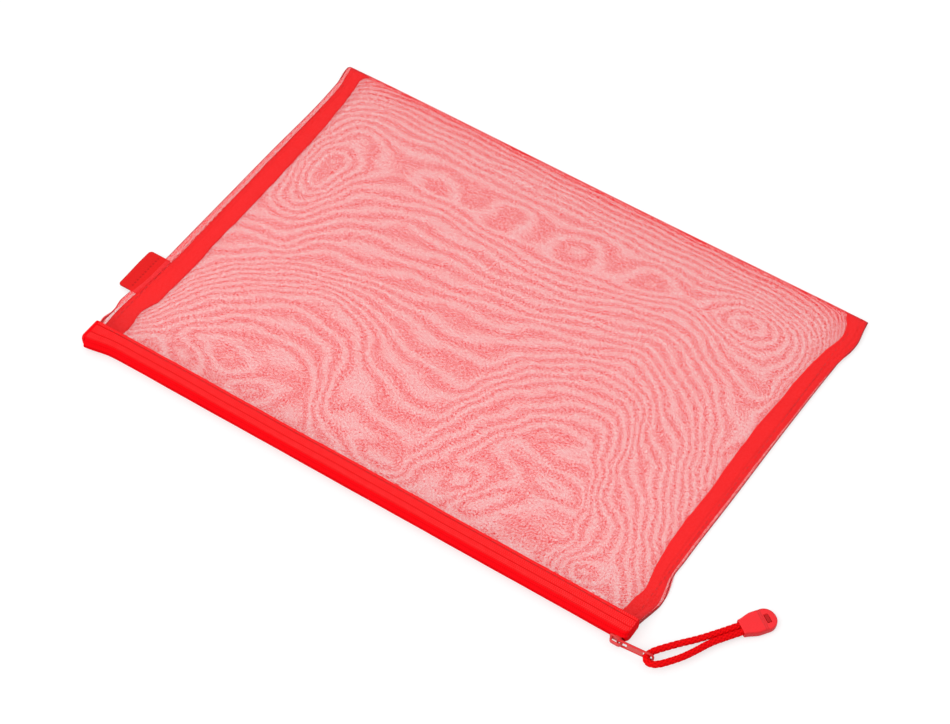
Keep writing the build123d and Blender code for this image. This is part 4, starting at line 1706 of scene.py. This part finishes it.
def label_shape():
    """Rings and shade of the label from its sewn root to its rounded outer edge, with a slight wave.

    A line of stitch dents runs along it beside the seam.
    """
    corner = 2.0 * MM
    under_band = 1.3 * MM
    root_drop = 0.25 * MM
    root_thin = 0.7
    tip_thin = 0.85
    tip_turn = 0.97 * QUARTER
    edge_round = 0.85
    dent_at = 5.2 * MM
    dent_width = 0.45 * MM
    dent_pitch = 2.2 * MM
    dash_slope = 1.6
    dash_start = 0.3
    dent_margin = 2.0 * MM
    dent_depth = 0.10 * MM
    dent_shade = 0.55
    outside_from = 4.2 * MM
    outside_ease = 0.8 * MM
    outside_shade = 0.12
    rim_width = 0.5 * MM
    rim_shade = 0.55
    half_long = (label_high.y - label_low.y) / 2
    half_thick = (label_high.z - label_low.z) / 2
    middle_z = (label_high.z + label_low.z) / 2
    reach = label_high.x - label_low.x
    tip_start = reach - corner
    body = np.linspace(-under_band, tip_start, 28)
    tip = tip_start + corner * np.sin(np.linspace(0, tip_turn, 10))[1:]
    out = np.concatenate([body, tip])
    past = np.clip((out - tip_start) / corner, 0, 1)
    wide = half_long - corner * (1 - np.sqrt(1 - past**2))
    root = 1 - smooth_step((out + under_band) / (2 * under_band))
    thick = half_thick * np.sqrt(1 - tip_thin * past**2) * (1 - root_thin * root)
    across, up = rounded_ring(wide, thick, thick * edge_round, 120, 4)
    up = up - root_drop * root[:, None]
    place = out[:, None]
    dashes = smooth_step(np.sin(TURN * across / dent_pitch) * dash_slope + dash_start)
    dents = bell(place - dent_at, dent_width) * dashes * (np.abs(across) < half_long - dent_margin)
    dents = dents * (up > 0)
    wave = wander(across, (0.22 * MM, 31 * MM, 0.1)) * smooth_step(place / reach)
    lift = wave - dent_depth * dents
    points = stacked(label_high.x - place, label_middle + across, middle_z + up + lift)
    to_edge = np.minimum(reach - place, wide[:, None] - np.abs(across))
    rim = 1 - smooth_step(to_edge / rim_width)
    outside = smooth_step((place - outside_from) / outside_ease)
    # Painted shade in the stitch dents and round the rim of the outer part, which is also a little
    # darker overall
    tone = 1 - dent_shade * dents - outside * (outside_shade + rim_shade * rim)
    return points, np.clip(tone, 0, 1)


class WALLET_OT_label(bpy.types.Operator):
    """Makes the plain moulded label in the left seam."""

    bl_idname = "wallet.label"
    bl_label = "Side Label"

    def execute(self, context):
        points, tone = label_shape()
        finish = label_finish(context.scene.wallet_colours)
        piece = ringed_piece("side_label", points, finish, "wallet", "label", tone=tone)
        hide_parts("label_tab")
        return {"FINISHED"}


# Stitching


def stitch_shape(sizes, node, along_x, over):
    """Points, faces and cloth coordinates of a row of stitches on a solid's top face.

    Each stitch is a short round thread whose ends dive into the cloth; the row copies it.
    """
    arch_share = 0.9
    sunk_share = 0.4
    end_thin = 0.9
    low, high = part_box(node)
    lengthwise = 0 if along_x else 1
    crosswise = 1 - lengthwise
    room = high[lengthwise] - low[lengthwise] - sizes.stitch_length
    count = int(round(room / sizes.stitch_pitch)) + 1
    radius = sizes.thread_diameter / 2
    share = np.linspace(-1, 1, 7)[:, None]
    spin = np.arange(6) * (TURN / 6)
    run = share * sizes.stitch_length / 2
    arch = radius * (1 - share**4) * arch_share
    thin = radius * np.sqrt(1 - end_thin * share**6)
    middle_z = over + arch - sunk_share * radius
    one = stacked(run, thin * np.cos(spin), middle_z + thin * np.sin(spin))
    middle = (low[lengthwise] + high[lengthwise]) / 2
    places = middle + (np.arange(count) - (count - 1) / 2) * sizes.stitch_pitch
    row = np.repeat(one[None], count, axis=0)
    row[..., 0] += places[:, None, None]
    row[..., 1] += (low[crosswise] + high[crosswise]) / 2
    cloth = stacked(spin * radius, row[..., 0])
    if not along_x:
        row = row[..., [1, 0, 2]]
    one_faces = capped_rings(one)
    points, faces = joined([(stitch, one_faces) for stitch in row])
    return points, faces, cloth


class WALLET_OT_stitching(bpy.types.Operator):
    """Makes the four rows of stitches on the zipper tapes and the bindings."""

    bl_idname = "wallet.stitching"
    bl_label = "Stitching"

    def execute(self, context):
        sizes = context.scene.wallet_sizes
        finish = thread_finish(sizes, context.scene.wallet_colours)
        rows = (
            ("upper_zip", True, -0.2 * MM),
            ("lower_zip", True, 0.0),
            ("left_seam", False, -0.1 * MM),
            ("right_seam", False, -0.1 * MM),
        )
        for row, along_x, sink in rows:
            node = row + "_stitching"
            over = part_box(node)[0].z + sink
            points, faces, cloth = stitch_shape(sizes, node, along_x, over)
            piece = new_piece(row + "_stitches", points, faces, finish, "wallet", "thread", uv=cloth)
            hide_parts(node)
        return {"FINISHED"}


# Stage

FLOOR_RADIUS = 6.0
FLOOR_DROP = 0.2 * MM
FLOOR_LIFT = 0.58
AMBIENT = 0.85
WHITE = (1, 1, 1, 1)
LAMP_PLACE = (-0.2, -1.2, 1.1)
LAMP_WIDTH = 1.6
LAMP_POWER = 12


def white_to_sight(tree):
    """1 for rays from the camera, from gloss and through clear gaps, and 0 for light on the object."""
    path = tree.nodes.new("ShaderNodeLightPath")
    seen = calc(tree, "MAXIMUM", path.outputs["Is Camera Ray"], path.outputs["Is Glossy Ray"])
    return calc(tree, "MAXIMUM", seen, path.outputs["Is Transmission Ray"])


class WALLET_OT_stage(bpy.types.Operator):
    """Makes the pale floor, the soft light and the camera."""

    bl_idname = "wallet.stage"
    bl_label = "Stage"

    def execute(self, context):
        self.make_floor(context)
        self.make_light(context)
        self.make_camera(context)
        return {"FINISHED"}

    def make_floor(self, context):
        """A wide flat disc that keeps the shadow, lifted to white for the eye."""
        colour = context.scene.wallet_colours.floor
        material, tree, shader = new_finish("pale_floor", colour, roughness=0.9, specular=0.0)
        shader.inputs["Emission Color"].default_value = WHITE
        lift = calc(tree, "MULTIPLY", white_to_sight(tree), FLOOR_LIFT)
        feed(tree, shader.inputs["Emission Strength"], lift)
        spin = np.linspace(0, TURN, 65)[:-1]
        rim = stacked(FLOOR_RADIUS * np.cos(spin), FLOOR_RADIUS * np.sin(spin), -FLOOR_DROP)
        mesh = bpy.data.meshes.new("floor")
        mesh.from_pydata(rim, [], [list(range(len(rim)))])
        mesh.materials.append(material)
        floor = bpy.data.objects.new("floor", mesh)
        context.scene.collection.objects.link(floor)

    def make_light(self, context):
        """Even light from all round and one wide soft lamp above the front of the wallet."""
        world = bpy.data.worlds.new("studio")
        world.use_nodes = True
        tree = world.node_tree
        sky = tree.nodes["Background"]
        sky.inputs["Color"].default_value = WHITE
        level = between(tree, white_to_sight(tree), AMBIENT, 1.0)
        feed(tree, sky.inputs["Strength"], level)
        context.scene.world = world
        lamp = bpy.data.lights.new("soft_key", "AREA")
        lamp.shape = "DISK"
        lamp.size = LAMP_WIDTH
        lamp.energy = LAMP_POWER
        key = bpy.data.objects.new("soft_key", lamp)
        key.location = LAMP_PLACE
        key.rotation_euler = (-Vector(LAMP_PLACE)).to_track_quat("-Z", "Y").to_euler()
        context.scene.collection.objects.link(key)

    def make_camera(self, context):
        """The camera at the photographed angle."""
        camera = bpy.data.objects.new("camera", bpy.data.cameras.new("camera"))
        camera.data.lens = VIEW_LENS
        camera.location = eye
        camera.rotation_euler = (-view_back).to_track_quat("-Z", "Y").to_euler()
        camera.data.clip_start = VIEW_NEAR
        context.scene.collection.objects.link(camera)
        context.scene.camera = camera
        context.scene.view_settings.view_transform = "Standard"


OPERATORS = (
    WALLET_OT_stage,
    WALLET_OT_cord_end,
    WALLET_OT_cord,
    WALLET_OT_gauze,
    WALLET_OT_bindings,
    WALLET_OT_zip_tapes,
    WALLET_OT_coil,
    WALLET_OT_slider,
    WALLET_OT_tab,
    WALLET_OT_label,
    WALLET_OT_stitching,
)


class WALLET_PT_sidebar(bpy.types.Panel):
    """Lists the wallet's pieces, sizes and colours."""

    bl_idname = "WALLET_PT_sidebar"
    bl_label = "Document Wallet"
    bl_space_type = "VIEW_3D"
    bl_region_type = "UI"
    bl_category = "Wallet"

    def draw(self, context):
        for operator in OPERATORS:
            self.layout.operator(operator.bl_idname)
        for group in (context.scene.wallet_sizes, context.scene.wallet_colours):
            box = self.layout.box()
            for name in group.__annotations__:
                box.prop(group, name)


CLASSES = (WalletSizes, WalletColours, *OPERATORS, WALLET_PT_sidebar)


def register():
    """Adds the classes, and the sizes and colours to each scene."""
    for one in CLASSES:
        bpy.utils.register_class(one)
    bpy.types.Scene.wallet_sizes = PointerProperty(type=WalletSizes)
    bpy.types.Scene.wallet_colours = PointerProperty(type=WalletColours)


def unregister():
    """Takes away what register added."""
    del bpy.types.Scene.wallet_colours
    del bpy.types.Scene.wallet_sizes
    for one in reversed(CLASSES):
        bpy.utils.unregister_class(one)


def main():
    """Builds every piece and the stage."""
    register()
    for operator in OPERATORS:
        family, name = operator.bl_idname.split(".")
        getattr(getattr(bpy.ops, family), name)()


if __name__ == "__main__":
    main()
